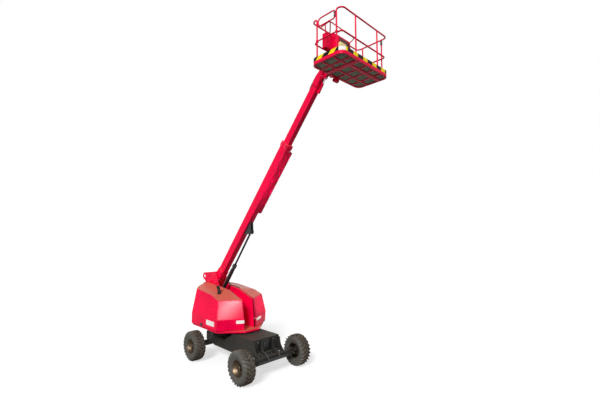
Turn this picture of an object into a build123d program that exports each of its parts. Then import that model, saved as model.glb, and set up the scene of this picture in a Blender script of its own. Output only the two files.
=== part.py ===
from build123d import *
from math import atan2, cos, hypot, radians, sin, sqrt
import os

# Telescopic boom lift on four wheels, boom raised. Millimetres.
# +X is the way the boom points, +Y is the left side, +Z is up.
# The origin is on the ground under the slew axis. The right side is -Y.

os.makedirs("parts", exist_ok=True)

# Running clearances
RUNNING_GAP = 0.3
SWING_GAP = 6.0

# Round pin heads
PIN_HEAD = 12.0
PIN_HEAD_RATIO = 1.35

# Wheels
TYRE_DIAMETER = 920.0
TYRE_WIDTH = 365.0
TYRE_CROWN_HALF = 131.0
TYRE_BULGE_DROP = 135.0
TREAD_LUGS = 24
TREAD_HEIGHT = 36.0
TREAD_ROOT = 95.0
TREAD_LENGTH = 168.0
TREAD_WIDTH = 40.0
TREAD_ANGLE = 25.0
TREAD_OFFSET = 88.0
RIM_DIAMETER = 445.0
RIM_WIDTH = 290.0
RIM_WALL = 12.0
RIM_DISC_OUT = 30.0
RIM_DISC_THICKNESS = 18.0
RIM_FACE_OUT = 100.0
RIM_FACE_DROP = 34.0
RIM_FACE_LAND = 150.0
RIM_BACK_OUT = 75.0
RIM_BACK_DROP = 42.0
RIM_BACK_LAND = 154.0
HUB_RADIUS = 140.0
HUB_THICKNESS = 30.0
SPINDLE_RADIUS = 60.0
SPINDLE_LENGTH = 70.0
TRACK = 2080.0
FRONT_AXLE_X = 2350.0
REAR_AXLE_X = -250.0

# Chassis
CHASSIS_WIDTH = 980.0
CHASSIS_REAR_X = -720.0
TAIL_HALF = 340.0
SIDE_REAR_X = -130.0
SIDE_REAR_Z = 510.0
SIDE_FOOT_X = 30.0
CHASSIS_FRONT_X = 2120.0
CHASSIS_BOTTOM_Z = 420.0
PEDESTAL_DECK_Z = 700.0
FRONT_DECK_Z = 977.0
RAMP_START_X = 620.0
RAMP_END_X = 1100.0
CHASSIS_PLATE = 14.0
BELLY_MARGIN = 160.0
PLATE_CUT = 56.0
NOSE_CUT_X = 200.0
NOSE_CUT_Z = 130.0
PANEL_WIDTH = 620.0
PANEL_BOTTOM_Z = 600.0
PANEL_TOP_Z = 925.0
PANEL_LAP = 25.0
PANEL_THICKNESS = 20.0
PANEL_RIB = 16.0
PANEL_RIB_SPACING = 207.0

# Slewing pedestal
PEDESTAL_RADIUS = 505.0
PEDESTAL_WALL = 45.0
SLEW_RING_RADIUS = 545.0
SLEW_RING_HEIGHT = 55.0
SLEW_TOP_Z = 1025.0

# Axles, knuckles and steering
AXLE_BEAM_DEPTH = 150.0
AXLE_BEAM_HEIGHT = 180.0
AXLE_BEAM_CORNER = 18.0
AXLE_BRACKET_YS = (-477.0, -210.0, 210.0, 477.0)
AXLE_BRACKET_THICKNESS = 25.0
AXLE_BRACKET_TOP = 60.0
AXLE_BRACKET_ARC = 420.0
AXLE_BRACKET_FOOT = 50.0
AXLE_BRACKET_LIFT = 20.0
KINGPIN_Y = 760.0
KINGPIN_RADIUS = 34.0
KNUCKLE_RADIUS = 62.0
KNUCKLE_HEIGHT = 150.0
YOKE_THICKNESS = 36.0
YOKE_RADIUS = 75.0
STEER_ARM_REACH = 190.0
STEER_ARM_THICKNESS = 28.0
STEER_ARM_WIDTH = 48.0
STEER_CYLINDER_X = 150.0
STEER_CYLINDER_RADIUS = 42.0
STEER_CYLINDER_LENGTH = 560.0
STEER_ROD_RADIUS = 20.0
STEER_ROD_LENGTH = 1120.0
STEER_SADDLE_WIDTH = 40.0
STEER_SADDLE_SPACING = 390.0
REAR_HOUSING_RADIUS = 135.0
REAR_HOUSING_HALF = 200.0
REAR_TUBE_RADIUS = 90.0
REAR_TAPER = 120.0

# Turntable
BODY_BOTTOM_Z = 1085.0
BODY_CREASE_Z = 1420.0
BODY_LOFT_Z = 2450.0
BASE_PLATE = 20.0
BASE_RIM_WALL = 16.0
BASE_INSET = 35.0
BASE_NOSE_X = 1440.0
BASE_NOSE_HALF = 260.0
BASE_TAIL_MIDDLE = 30.0
CHANNEL_HALF = 216.0
TOWER_PLATE = 25.0
HOOD_WALL = 14.0
HOOD_SPLIT_X = -900.0
TOP_FRONT_X = 1184.0
TOP_FRONT_Z = 1970.0
TOP_KNEE_X = 400.0
TOP_KNEE_Z = 2200.0
TOP_REAR_X = -930.0
TOP_REAR_Z = 2330.0
TOP_CROSS_FALL = 0.15
MASS_CORNER = 40.0
ENGINE_SIZE = (760.0, 430.0, 560.0)
ENGINE_CENTRE_Y = -540.0
TANK_SIZE = (900.0, 400.0, 620.0)
TANK_CENTRE_Y = 540.0
EXHAUST_RADIUS = 48.0
EXHAUST_X = 460.0
EXHAUST_Y = -610.0
EXHAUST_WALL = 6.0
EXHAUST_FOOT_Z = 2060.0
EXHAUST_KNEE_Z = 2230.0
EXHAUST_TOP_Z = 2355.0
EXHAUST_LEAN = 85.0
EXHAUST_BEND = 90.0
HINGE_XS = (-780.0, -380.0)
HINGE_Y = 246.0
HINGE_Z = 2372.0
HINGE_RADIUS = 16.0
HINGE_PIN = 9.0
HINGE_LUG = 20.0
HINGE_LEAF = 24.0
HINGE_PLAY = 1.0

# Boom
BOOM_ANGLE = 50.0
BOOM_PIVOT_X = -550.0
BOOM_PIVOT_Z = 2500.0
BOOM_AXIS_DROP = 50.0
PIVOT_PIN_RADIUS = 45.0
TOWER_EYE_X = -1180.0
TOWER_EYE_Z = 2515.0
TOWER_EYE_RADIUS = 60.0
TOWER_EYE_RIM = 62.0
TOWER_TOP_Z = 2715.0
TOWER_REAR_X = -1050.0
TOWER_REAR_Z = 2270.0
TOWER_FRONT_X = 1244.0
TOWER_BROW_X = 1144.0
TOWER_HEEL_X = -220.0
TOWER_SHOULDER_X = -420.0
TOWER_SHOULDER_Z = 2605.0
TOWER_TOP_X = -520.0
BASE_WIDTH = 200.0
BASE_DEPTH = 290.0
BASE_WALL = 10.0
BASE_START = 130.0
BASE_END = 5460.0
BASE_CORNER = 18.0
HEEL_RADIUS = 130.0
HEEL_PLATE = 30.0
HEEL_BOSS_RADIUS = 85.0
HEEL_LAP = 420.0
COLLAR_LAP = 110.0
COLLAR_LIP = 40.0
COLLAR_WALL = 22.0
TRAY_START = 3030.0
TRAY_WIDTH = 115.0
TRAY_DEPTH = 120.0
TRAY_WALL = 4.0
TRAY_END_GAP = 60.0
CHAIN_LINKS = 26
CHAIN_PITCH = 84.0
CHAIN_LINK = 60.0
CHAIN_CORE = 76.0
FLY_WIDTH = 160.0
FLY_DEPTH = 230.0
FLY_WALL = 8.0
FLY_CORNER = 14.0
FLY_REAR = 2150.0
FLY_FRONT = 7500.0
SLIDE_PAD_LENGTH = 150.0

# Lift cylinder
LIFT_BASE_X = -335.0
LIFT_BASE_Z = 2005.0
LIFT_EYE_ALONG = 2420.0
LIFT_EYE_DROP = 390.0
LIFT_PIN_RADIUS = 34.0
LIFT_EYE_RADIUS = 58.0
LIFT_EYE_WIDTH = 56.0
LIFT_BARREL_RADIUS = 62.0
LIFT_BARREL_WALL = 12.0
LIFT_BARREL_LENGTH = 1250.0
LIFT_GLAND_LENGTH = 90.0
LIFT_GLAND_RADIUS = 74.0
LIFT_ROD_RADIUS = 32.0
LIFT_ROD_LENGTH = 1880.0
LIFT_PISTON = 80.0
BRACKET_CHEEK = 22.0
BRACKET_LENGTH = 560.0
BRACKET_NOSE = 75.0
BRACKET_GAP = 6.0

# Fly head, levelling and platform mount
TIP_PIN_REACH = 200.0
TIP_PIN_RADIUS = 30.0
HEAD_PLATE = 20.0
HEAD_LAP = 200.0
HEAD_NOSE_RADIUS = 75.0
LEVEL_HORN_REACH = 180.0
LEVEL_HORN_ANGLE = 65.0
LEVEL_HORN_RADIUS = 42.0
LEVEL_PLATE = 18.0
LEVEL_BASE_BACK = 520.0
LEVEL_BASE_DROP = 200.0
LEVEL_EYE_RADIUS = 30.0
LEVEL_EYE_WIDTH = 28.0
LEVEL_BARREL_RADIUS = 34.0
LEVEL_BARREL_WALL = 7.0
LEVEL_BARREL_LENGTH = 290.0
LEVEL_ROD_RADIUS = 16.0
LEVEL_ROD_LENGTH = 360.0
LEVEL_SADDLE = 40.0
LEVEL_BOSS_RADIUS = 52.0
LEVEL_ARM_HALF = 70.0
ROTATOR_REACH = 300.0
ROTATOR_RADIUS = 78.0
ROTATOR_BOTTOM = -190.0
ROTATOR_TOP = 90.0
ROTATOR_CHAMFER = 10.0
FORK_PLATE = 25.0
FORK_WIDTH = 130.0
FORK_REACH = 95.0

# Platform
PLATFORM_REACH = 926.0
PLATFORM_DROP = 304.0
PLATFORM_LENGTH = 1918.0
PLATFORM_DEPTH = 975.0
PLATFORM_CORNER = 170.0
FRAME_HEIGHT = 76.0
FRAME_WALL = 44.0
MEMBER_WIDTH = 36.0
MEMBER_HEIGHT = 26.0
MEMBER_COUNT = 5
MEMBER_SPACING = 310.0
LONG_MEMBER_SPACING = 330.0
WIDE_BEAM_WIDTH = 120.0
WIDE_BEAM_Y = -360.0
HEAVY_BEAM_WIDTH = 80.0
HEAVY_BEAM_X = 205.0
MESH_THICKNESS = 6.0
TOE_HEIGHT = 90.0
TOE_THICKNESS = 5.0
RAIL_RADIUS = 19.0
RAIL_BEND = 110.0
ENTRY_BEND = 45.0
ENTRY_STRAIGHT = 8.0
POST_RADIUS = 18.4
FRONT_POST_NEAR = 0.46
FRONT_POST_FAR = 0.50
REAR_POST_NEAR = 0.41
REAR_POST_FAR = 0.55
TOP_RAIL_HEIGHT = 1095.0
MID_RAIL_HEIGHT = 555.0
GATE_BAR_HEIGHT = 195.0  # between the gate's upper and lower bars
GATE_RADIUS = 16.0
GATE_HINGE_RADIUS = 27.0
GATE_HINGE_HEIGHT = 46.0
GATE_BEND = 0.42
GATE_HINGE_INSET = 58.0
GATE_HINGE_BEND = 55.0
DROP_BAR_RADIUS = 16.0
DROP_COLLAR_RADIUS = 30.0
DROP_COLLAR_HEIGHT = 50.0
LUG_BACK = 10.0
LUG_DROP = 45.0
LUG_RADIUS = 62.0
LUG_HOLE_RADIUS = 32.0
CONSOLE_DEPTH = 250.0
CONSOLE_LENGTH = 500.0
CONSOLE_CENTRE_Y = -20.0
CONSOLE_BOTTOM = 580.0
CONSOLE_HEIGHT = 480.0
CONSOLE_WING_DEPTH = 110.0
CONSOLE_WING_LENGTH = 310.0
CONSOLE_SLOPE = 110.0
CONSOLE_CORNER = 15.0

WHEEL_Z = TYRE_DIAMETER / 2
HALF_TRACK = TRACK / 2
TIP_PIN_ALONG = FLY_FRONT + TIP_PIN_REACH
boom_cos = cos(radians(BOOM_ANGLE))
boom_sin = sin(radians(BOOM_ANGLE))


def keep(piece, node):
    """Label a finished piece and write its file."""
    piece.label = node
    export_step(piece, f"parts/{node}.step")


def boom_point(along, drop, y=0.0):
    """A point in the row frame, given along the boom from its pivot and below the pivot line."""
    x = BOOM_PIVOT_X + along * boom_cos + drop * boom_sin
    z = BOOM_PIVOT_Z + along * boom_sin - drop * boom_cos
    return Vector(x, y, z)


def boom_side(y=0.0):
    """Side view of the boom: x along it from the pivot, y up from its axis."""
    return Plane(
        origin=boom_point(0, BOOM_AXIS_DROP, y),
        x_dir=(boom_cos, 0, boom_sin),
        z_dir=(0, -1, 0),
    )


def boom_section(along):
    """Cross-section of the boom: x across it, y up from its axis."""
    return Plane(
        origin=boom_point(along, BOOM_AXIS_DROP),
        x_dir=(0, 1, 0),
        z_dir=(boom_cos, 0, boom_sin),
    )


def side_plane(x, z, y=0.0):
    """Side view at a point of the row frame: x forward, y up, extruded towards the right side."""
    return Plane(origin=(x, y, z), x_dir=(1, 0, 0), z_dir=(0, -1, 0))


def cross_plane(x, y, z):
    """Front view at a point of the row frame: x to the left, y up, extruded forward."""
    return Plane(origin=(x, y, z), x_dir=(0, 1, 0), z_dir=(1, 0, 0))


def wheel_plane(x, side):
    """Half-section of a wheel: x outboard from the tyre's middle, y up from the axle."""
    return Plane(origin=(x, side * HALF_TRACK, WHEEL_Z), x_dir=(0, side, 0), z_dir=(side, 0, 0))


# Wheels: name, axle position and side (-1 is right)
WHEELS = [
    ("front_right", FRONT_AXLE_X, -1),
    ("front_left", FRONT_AXLE_X, 1),
    ("rear_right", REAR_AXLE_X, -1),
    ("rear_left", REAR_AXLE_X, 1),
]

tyre_radius = TYRE_DIAMETER / 2
rim_radius = RIM_DIAMETER / 2
half_tyre = TYRE_WIDTH / 2
half_rim = RIM_WIDTH / 2
carcass_radius = tyre_radius - TREAD_HEIGHT

# Tyre: bulged walls, rounded shoulders and a flat crown with two staggered rows of slanted lugs
slant_cos = cos(radians(TREAD_ANGLE))
slant_sin = sin(radians(TREAD_ANGLE))
lug_half_run = TREAD_LENGTH / 2 * slant_sin + TREAD_WIDTH / 2 * slant_cos
lug_root = sqrt(tyre_radius**2 - lug_half_run**2) - TREAD_ROOT
lug_planes = []
for row in (-1, 1):
    for lug in range(TREAD_LUGS):
        turn = radians((lug + row / 4) * 360 / TREAD_LUGS)
        outward = Vector(cos(turn), 0, sin(turn))
        around = Vector(-sin(turn), 0, cos(turn))
        along = Vector(0, row * slant_cos, 0) + around * slant_sin
        foot = outward * lug_root + Vector(0, row * TREAD_OFFSET, 0)
        lug_planes.append(Plane(origin=foot, x_dir=along, z_dir=outward))
with BuildPart() as tyre:
    with BuildSketch(Plane.YZ):
        with BuildLine():
            crown = Line((-TYRE_CROWN_HALF, carcass_radius), (TYRE_CROWN_HALF, carcass_radius))
            out_wall = ThreePointArc(
                crown @ 1,
                (half_tyre, tyre_radius - TYRE_BULGE_DROP),
                (half_rim, rim_radius),
            )
            bead = Line(out_wall @ 1, (-half_rim, rim_radius))
            ThreePointArc(bead @ 1, (-half_tyre, tyre_radius - TYRE_BULGE_DROP), crown @ 0)
        make_face()
    revolve(axis=Axis.Y)
    with BuildSketch(*lug_planes):
        Rectangle(TREAD_LENGTH, TREAD_WIDTH)
    extrude(amount=TREAD_ROOT)

for place, axle_x, side in WHEELS:
    wheel_centre = (axle_x, side * HALF_TRACK, WHEEL_Z)
    keep(tyre.part.moved(Location(wheel_centre)), f"tyre_{place}")

    # Rim: barrel with flanges, a dished disc and a hub boss that runs on the spindle
    with BuildPart() as rim:
        with BuildSketch(wheel_plane(axle_x, side)):
            with BuildLine():
                Polyline(
                    (half_rim, rim_radius),
                    (half_rim, rim_radius - RIM_WALL),
                    (RIM_FACE_OUT, rim_radius - RIM_FACE_DROP),
                    (RIM_DISC_OUT + RIM_DISC_THICKNESS, RIM_FACE_LAND),
                    (RIM_DISC_OUT + RIM_DISC_THICKNESS, SPINDLE_RADIUS + RUNNING_GAP),
                    (RIM_DISC_OUT, SPINDLE_RADIUS + RUNNING_GAP),
                    (RIM_DISC_OUT, RIM_BACK_LAND),
                    (RIM_BACK_OUT, rim_radius - RIM_BACK_DROP),
                    (-half_rim, rim_radius - RIM_WALL),
                    (-half_rim, rim_radius),
                    close=True,
                )
            make_face()
        revolve(axis=Axis(wheel_centre, (0, 1, 0)))
    keep(rim.part, f"rim_{place}")

# Chassis: welded box with a low rear deck, a ramp and a raised front deck, open belly and front recess,
# and a narrower tail box that holds the rear axle
half_chassis = CHASSIS_WIDTH / 2
with BuildPart() as chassis_frame:
    with BuildSketch(Plane.XZ) as tail_outline:
        with BuildLine():
            Polyline(
                (CHASSIS_REAR_X, CHASSIS_BOTTOM_Z),
                (CHASSIS_REAR_X, PEDESTAL_DECK_Z),
                (SIDE_FOOT_X, PEDESTAL_DECK_Z),
                (SIDE_FOOT_X, CHASSIS_BOTTOM_Z),
                close=True,
            )
        make_face()
    extrude(amount=TAIL_HALF, both=True)
    with BuildSketch(Plane.XZ) as box_outline:
        with BuildLine():
            Polyline(
                (SIDE_FOOT_X, CHASSIS_BOTTOM_Z),
                (SIDE_REAR_X, SIDE_REAR_Z),
                (SIDE_REAR_X, PEDESTAL_DECK_Z),
                (RAMP_START_X, PEDESTAL_DECK_Z),
                (RAMP_END_X, FRONT_DECK_Z),
                (CHASSIS_FRONT_X, FRONT_DECK_Z),
                (CHASSIS_FRONT_X, CHASSIS_BOTTOM_Z + NOSE_CUT_Z),
                (CHASSIS_FRONT_X - NOSE_CUT_X, CHASSIS_BOTTOM_Z),
                close=True,
            )
        make_face()
    extrude(amount=half_chassis, both=True)
    for outline, half_width in ((tail_outline, TAIL_HALF), (box_outline, half_chassis)):
        with BuildSketch(Plane.XZ):
            add(outline.sketch)
            offset(amount=-CHASSIS_PLATE, mode=Mode.REPLACE, kind=Kind.INTERSECTION)
        extrude(amount=half_width - CHASSIS_PLATE, both=True, mode=Mode.SUBTRACT)
    belly_start = CHASSIS_REAR_X + BELLY_MARGIN
    belly_end = CHASSIS_FRONT_X - NOSE_CUT_X - BELLY_MARGIN
    with Locations(((belly_start + belly_end) / 2, 0, CHASSIS_BOTTOM_Z)):
        Box(belly_end - belly_start, 2 * (TAIL_HALF - BELLY_MARGIN), PLATE_CUT, mode=Mode.SUBTRACT)
    with Locations((CHASSIS_FRONT_X, 0, (PANEL_BOTTOM_Z + PANEL_TOP_Z) / 2)):
        Box(PLATE_CUT, PANEL_WIDTH, PANEL_TOP_Z - PANEL_BOTTOM_Z, mode=Mode.SUBTRACT)
    axle_notch = REAR_TUBE_RADIUS + RUNNING_GAP
    with BuildSketch(Plane.XZ):
        with Locations((REAR_AXLE_X, WHEEL_Z)):
            Circle(axle_notch)
            Rectangle(2 * axle_notch, WHEEL_Z, align=(Align.CENTER, Align.MAX))
    extrude(amount=half_chassis, both=True, mode=Mode.SUBTRACT)
    housing_slot = 2 * (REAR_HOUSING_RADIUS + SWING_GAP)
    with Locations((REAR_AXLE_X, 0, CHASSIS_BOTTOM_Z)):
        Box(housing_slot, 2 * (TAIL_HALF - CHASSIS_PLATE), PLATE_CUT, mode=Mode.SUBTRACT)
keep(chassis_frame.part, "chassis_frame")

# Front panel: seated behind the front wall's recess, with two upright ribs
panel_x = CHASSIS_FRONT_X - CHASSIS_PLATE - PANEL_THICKNESS / 2
panel_z = (PANEL_BOTTOM_Z + PANEL_TOP_Z) / 2
panel_height = PANEL_TOP_Z - PANEL_BOTTOM_Z
with BuildPart() as front_panel:
    with Locations((panel_x, 0, panel_z)):
        Box(PANEL_THICKNESS, PANEL_WIDTH + 2 * PANEL_LAP, panel_height + PANEL_LAP)
    with Locations((panel_x + PANEL_THICKNESS / 2, 0, panel_z)):
        with GridLocations(0, PANEL_RIB_SPACING, 1, 2):
            Box(PANEL_RIB, PANEL_RIB, panel_height - PANEL_LAP, align=(Align.MIN, Align.CENTER, Align.CENTER))
keep(front_panel.part, "front_panel")

# Slewing pedestal: a ring wall with the slewing bearing's flange at its top
with BuildPart() as slew_pedestal:
    with BuildSketch(Plane.XZ):
        with BuildLine():
            Polyline(
                (PEDESTAL_RADIUS - PEDESTAL_WALL, PEDESTAL_DECK_Z),
                (PEDESTAL_RADIUS, PEDESTAL_DECK_Z),
                (PEDESTAL_RADIUS, SLEW_TOP_Z - SLEW_RING_HEIGHT),
                (SLEW_RING_RADIUS, SLEW_TOP_Z - SLEW_RING_HEIGHT),
                (SLEW_RING_RADIUS, SLEW_TOP_Z),
                (PEDESTAL_RADIUS - PEDESTAL_WALL, SLEW_TOP_Z),
                close=True,
            )
        make_face()
    revolve(axis=Axis.Z)
keep(slew_pedestal.part, "slew_pedestal")

# Front axle: a beam ahead of the chassis with a yoke for each king pin
beam_rear_x = FRONT_AXLE_X - AXLE_BEAM_DEPTH / 2
yoke_inside = KNUCKLE_HEIGHT / 2 + RUNNING_GAP
with BuildPart() as front_axle:
    beam_half = KINGPIN_Y - YOKE_RADIUS - SWING_GAP
    with Locations((FRONT_AXLE_X, 0, WHEEL_Z)):
        Box(AXLE_BEAM_DEPTH, 2 * beam_half, AXLE_BEAM_HEIGHT)
    fillet(front_axle.edges().filter_by(Axis.Y), radius=AXLE_BEAM_CORNER)
    for side in (-1, 1):
        for level in (-1, 1):
            yoke_z = WHEEL_Z + level * (yoke_inside + YOKE_THICKNESS / 2)
            with Locations((FRONT_AXLE_X, side * KINGPIN_Y, yoke_z)):
                Cylinder(YOKE_RADIUS, YOKE_THICKNESS)
            with Locations((FRONT_AXLE_X, side * (KINGPIN_Y + beam_half) / 2, yoke_z)):
                Box(2 * YOKE_RADIUS, KINGPIN_Y - beam_half, YOKE_THICKNESS)
        with Locations((FRONT_AXLE_X, side * KINGPIN_Y, WHEEL_Z)):
            Cylinder(KINGPIN_RADIUS, 2 * yoke_inside + YOKE_THICKNESS)
keep(front_axle.part, "front_axle")

# Axle brackets: curved cheeks from the chassis front down to the beam
beam_top_z = WHEEL_Z + AXLE_BEAM_HEIGHT / 2
with BuildPart() as axle_brackets:
    for bracket_y in AXLE_BRACKET_YS:
        with BuildSketch(Plane.XZ.offset(-bracket_y)):
            with BuildLine():
                top = Line((CHASSIS_FRONT_X, PANEL_TOP_Z), (CHASSIS_FRONT_X + AXLE_BRACKET_TOP, PANEL_TOP_Z))
                nose = RadiusArc(top @ 1, (FRONT_AXLE_X + AXLE_BRACKET_FOOT, beam_top_z), -AXLE_BRACKET_ARC)
                foot = Line(nose @ 1, (beam_rear_x, beam_top_z))
                drop = Line(foot @ 1, (beam_rear_x, WHEEL_Z))
                back = Line(drop @ 1, (CHASSIS_FRONT_X, CHASSIS_BOTTOM_Z + NOSE_CUT_Z + AXLE_BRACKET_LIFT))
                Line(back @ 1, top @ 0)
            make_face()
        extrude(amount=AXLE_BRACKET_THICKNESS / 2, both=True)
keep(axle_brackets.part, "axle_brackets")

# Steering cylinder: barrel on the beam's front face with a rod out of each end
cylinder_x = FRONT_AXLE_X + STEER_CYLINDER_X
with BuildPart() as steering_cylinder:
    across = Plane(origin=(cylinder_x, 0, WHEEL_Z), x_dir=(1, 0, 0), z_dir=(0, 1, 0))
    with BuildSketch(across):
        Circle(STEER_CYLINDER_RADIUS)
    extrude(amount=STEER_CYLINDER_LENGTH / 2, both=True)
    with BuildSketch(across):
        Circle(STEER_ROD_RADIUS)
    extrude(amount=STEER_ROD_LENGTH / 2, both=True)
    saddle = STEER_CYLINDER_X - AXLE_BEAM_DEPTH / 2
    with GridLocations(0, STEER_SADDLE_SPACING, 1, 2):
        with Locations((FRONT_AXLE_X + AXLE_BEAM_DEPTH / 2, 0, WHEEL_Z)):
            Box(
                saddle,
                STEER_SADDLE_WIDTH,
                STEER_CYLINDER_RADIUS,
                align=(Align.MIN, Align.CENTER, Align.CENTER),
            )
keep(steering_cylinder.part, "steering_cylinder")

# Knuckles: barrel on the king pin, hub spindle and steering arm
for place, side in (("right", -1), ("left", 1)):
    spindle_inner = HALF_TRACK - KINGPIN_Y + RIM_DISC_OUT
    with BuildPart() as knuckle:
        kingpin = (FRONT_AXLE_X, side * KINGPIN_Y, WHEEL_Z)
        with Locations(kingpin):
            Cylinder(KNUCKLE_RADIUS, KNUCKLE_HEIGHT)
        outboard = Plane(origin=kingpin, x_dir=(1, 0, 0), z_dir=(0, side, 0))
        with BuildSketch(outboard):
            Circle(SPINDLE_RADIUS)
        extrude(amount=spindle_inner + SPINDLE_LENGTH)
        with BuildSketch(outboard.offset(spindle_inner - HUB_THICKNESS - RUNNING_GAP)):
            Circle(HUB_RADIUS)
        extrude(amount=HUB_THICKNESS)
        arm_top = Plane(origin=(FRONT_AXLE_X, side * KINGPIN_Y, WHEEL_Z - STEER_ARM_THICKNESS / 2))
        with BuildSketch(arm_top):
            with Locations((STEER_ARM_REACH / 2, 0)):
                Rectangle(STEER_ARM_REACH, STEER_ARM_WIDTH)
            with Locations((STEER_ARM_REACH, 0)):
                Circle(STEER_ARM_WIDTH / 2)
        extrude(amount=STEER_ARM_THICKNESS)
        with Locations(kingpin):
            Cylinder(KINGPIN_RADIUS + RUNNING_GAP, 2 * KNUCKLE_HEIGHT, mode=Mode.SUBTRACT)
    keep(knuckle.part, f"knuckle_{place}")

# Rear axle: round drive housing, tubes and a hub at each end
rear_hub_face = HALF_TRACK + RIM_DISC_OUT - RUNNING_GAP
with BuildPart() as rear_axle:
    with BuildSketch(Plane.YZ.offset(REAR_AXLE_X)):
        with BuildLine():
            Polyline(
                (0, WHEEL_Z),
                (rear_hub_face + SPINDLE_LENGTH, WHEEL_Z),
                (rear_hub_face + SPINDLE_LENGTH, WHEEL_Z + SPINDLE_RADIUS),
                (rear_hub_face, WHEEL_Z + SPINDLE_RADIUS),
                (rear_hub_face, WHEEL_Z + HUB_RADIUS),
                (rear_hub_face - HUB_THICKNESS, WHEEL_Z + HUB_RADIUS),
                (rear_hub_face - HUB_THICKNESS, WHEEL_Z + REAR_TUBE_RADIUS),
                (REAR_HOUSING_HALF + REAR_TAPER, WHEEL_Z + REAR_TUBE_RADIUS),
                (REAR_HOUSING_HALF, WHEEL_Z + REAR_HOUSING_RADIUS),
                (0, WHEEL_Z + REAR_HOUSING_RADIUS),
                close=True,
            )
        make_face()
    revolve(axis=Axis((REAR_AXLE_X, 0, WHEEL_Z), (0, 1, 0)))
    mirror(about=Plane.XZ)
keep(rear_axle.part, "rear_axle")

# Turntable body: plan outlines of its left half at three heights
# columns: height, nose x at the channel, corner x, side y, radius of the round tail
BODY_LEVELS = [
    (BODY_BOTTOM_Z, 1330.0, 885.0, 950.0, 1150.0),
    (BODY_CREASE_Z, 1310.0, 915.0, 950.0, 1150.0),
    (BODY_LOFT_Z, 1074.0, 700.0, 795.0, 965.0),
]

front_fall = (TOP_KNEE_Z - TOP_FRONT_Z) / (TOP_FRONT_X - TOP_KNEE_X)
rear_fall = (TOP_REAR_Z - TOP_KNEE_Z) / (TOP_KNEE_X - TOP_REAR_X)


def body_half(inset, inner_y, split_x):
    """Left half of the turntable body ahead of a split line, drawn in by an inset."""
    with BuildPart() as half:
        for height, nose_x, corner_x, side_y, tail in BODY_LEVELS:
            lowered = height - inset if height == BODY_BOTTOM_Z else height
            side = side_y - inset
            tail_radius = tail - inset
            tangent_x = -sqrt(tail_radius**2 - side**2)
            split_y = sqrt(tail_radius**2 - split_x**2)
            middle = atan2((side + split_y) / 2, (tangent_x + split_x) / 2)
            with BuildSketch(Plane.XY.offset(lowered)):
                with BuildLine():
                    front = Line((nose_x - inset, inner_y), (corner_x - inset / 2, side))
                    flank = Line(front @ 1, (tangent_x, side))
                    tail_arc = ThreePointArc(
                        flank @ 1,
                        (tail_radius * cos(middle), tail_radius * sin(middle)),
                        (split_x, split_y),
                    )
                    cut = Line(tail_arc @ 1, (split_x, inner_y))
                    Line(cut @ 1, front @ 0)
                make_face()
        loft(ruled=True)
        for fall in (front_fall, rear_fall):
            top = Plane(
                origin=(TOP_KNEE_X, CHANNEL_HALF, TOP_KNEE_Z - inset),
                z_dir=(fall, TOP_CROSS_FALL, 1),
            )
            split(bisect_by=top, keep=Keep.BOTTOM)
    return half.part


# Hoods: shells open at the channel, the bottom and the tail, each hinged beside the boom channel
hood_skin = body_half(0, CHANNEL_HALF, HOOD_SPLIT_X + SWING_GAP)
hood_inside = body_half(HOOD_WALL, CHANNEL_HALF - HOOD_WALL, HOOD_SPLIT_X)
with BuildPart() as hood_left:
    add(hood_skin)
    add(hood_inside, mode=Mode.SUBTRACT)
    for hinge_x in HINGE_XS:
        leaf_x = hinge_x + (HINGE_LUG + HINGE_LEAF) / 2 + HINGE_PLAY
        roof_z = TOP_KNEE_Z + rear_fall * (TOP_KNEE_X - leaf_x) - TOP_CROSS_FALL * (HINGE_Y - CHANNEL_HALF)
        with BuildSketch(cross_plane(leaf_x, HINGE_Y, HINGE_Z)):
            Circle(HINGE_RADIUS)
            Rectangle(2 * HINGE_RADIUS, HINGE_Z - roof_z + HOOD_WALL / 2, align=(Align.CENTER, Align.MAX))
            Circle(HINGE_PIN + RUNNING_GAP, mode=Mode.SUBTRACT)
        extrude(amount=HINGE_LEAF / 2, both=True)
with BuildPart() as hood_right:
    mirror(hood_left.part, about=Plane.XZ)
keep(hood_left.part, "hood_left")
keep(hood_right.part, "hood_right")

# Exhaust outlet: an open bent stub on the right hood's sloping roof
right_roof = Plane(
    origin=(TOP_KNEE_X, -CHANNEL_HALF, TOP_KNEE_Z),
    z_dir=(front_fall, -TOP_CROSS_FALL, 1),
)
with BuildPart() as exhaust_outlet:
    with BuildLine() as stack_route:
        FilletPolyline(
            (EXHAUST_X, EXHAUST_Y, EXHAUST_FOOT_Z),
            (EXHAUST_X, EXHAUST_Y, EXHAUST_KNEE_Z),
            (EXHAUST_X - EXHAUST_LEAN, EXHAUST_Y, EXHAUST_TOP_Z),
            radius=EXHAUST_BEND,
        )
    with BuildSketch(Plane(origin=stack_route.line @ 0, z_dir=stack_route.line % 0)):
        Circle(EXHAUST_RADIUS)
        Circle(EXHAUST_RADIUS - EXHAUST_WALL, mode=Mode.SUBTRACT)
    sweep()
    split(bisect_by=right_roof, keep=Keep.TOP)
keep(exhaust_outlet.part, "exhaust_outlet")

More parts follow.
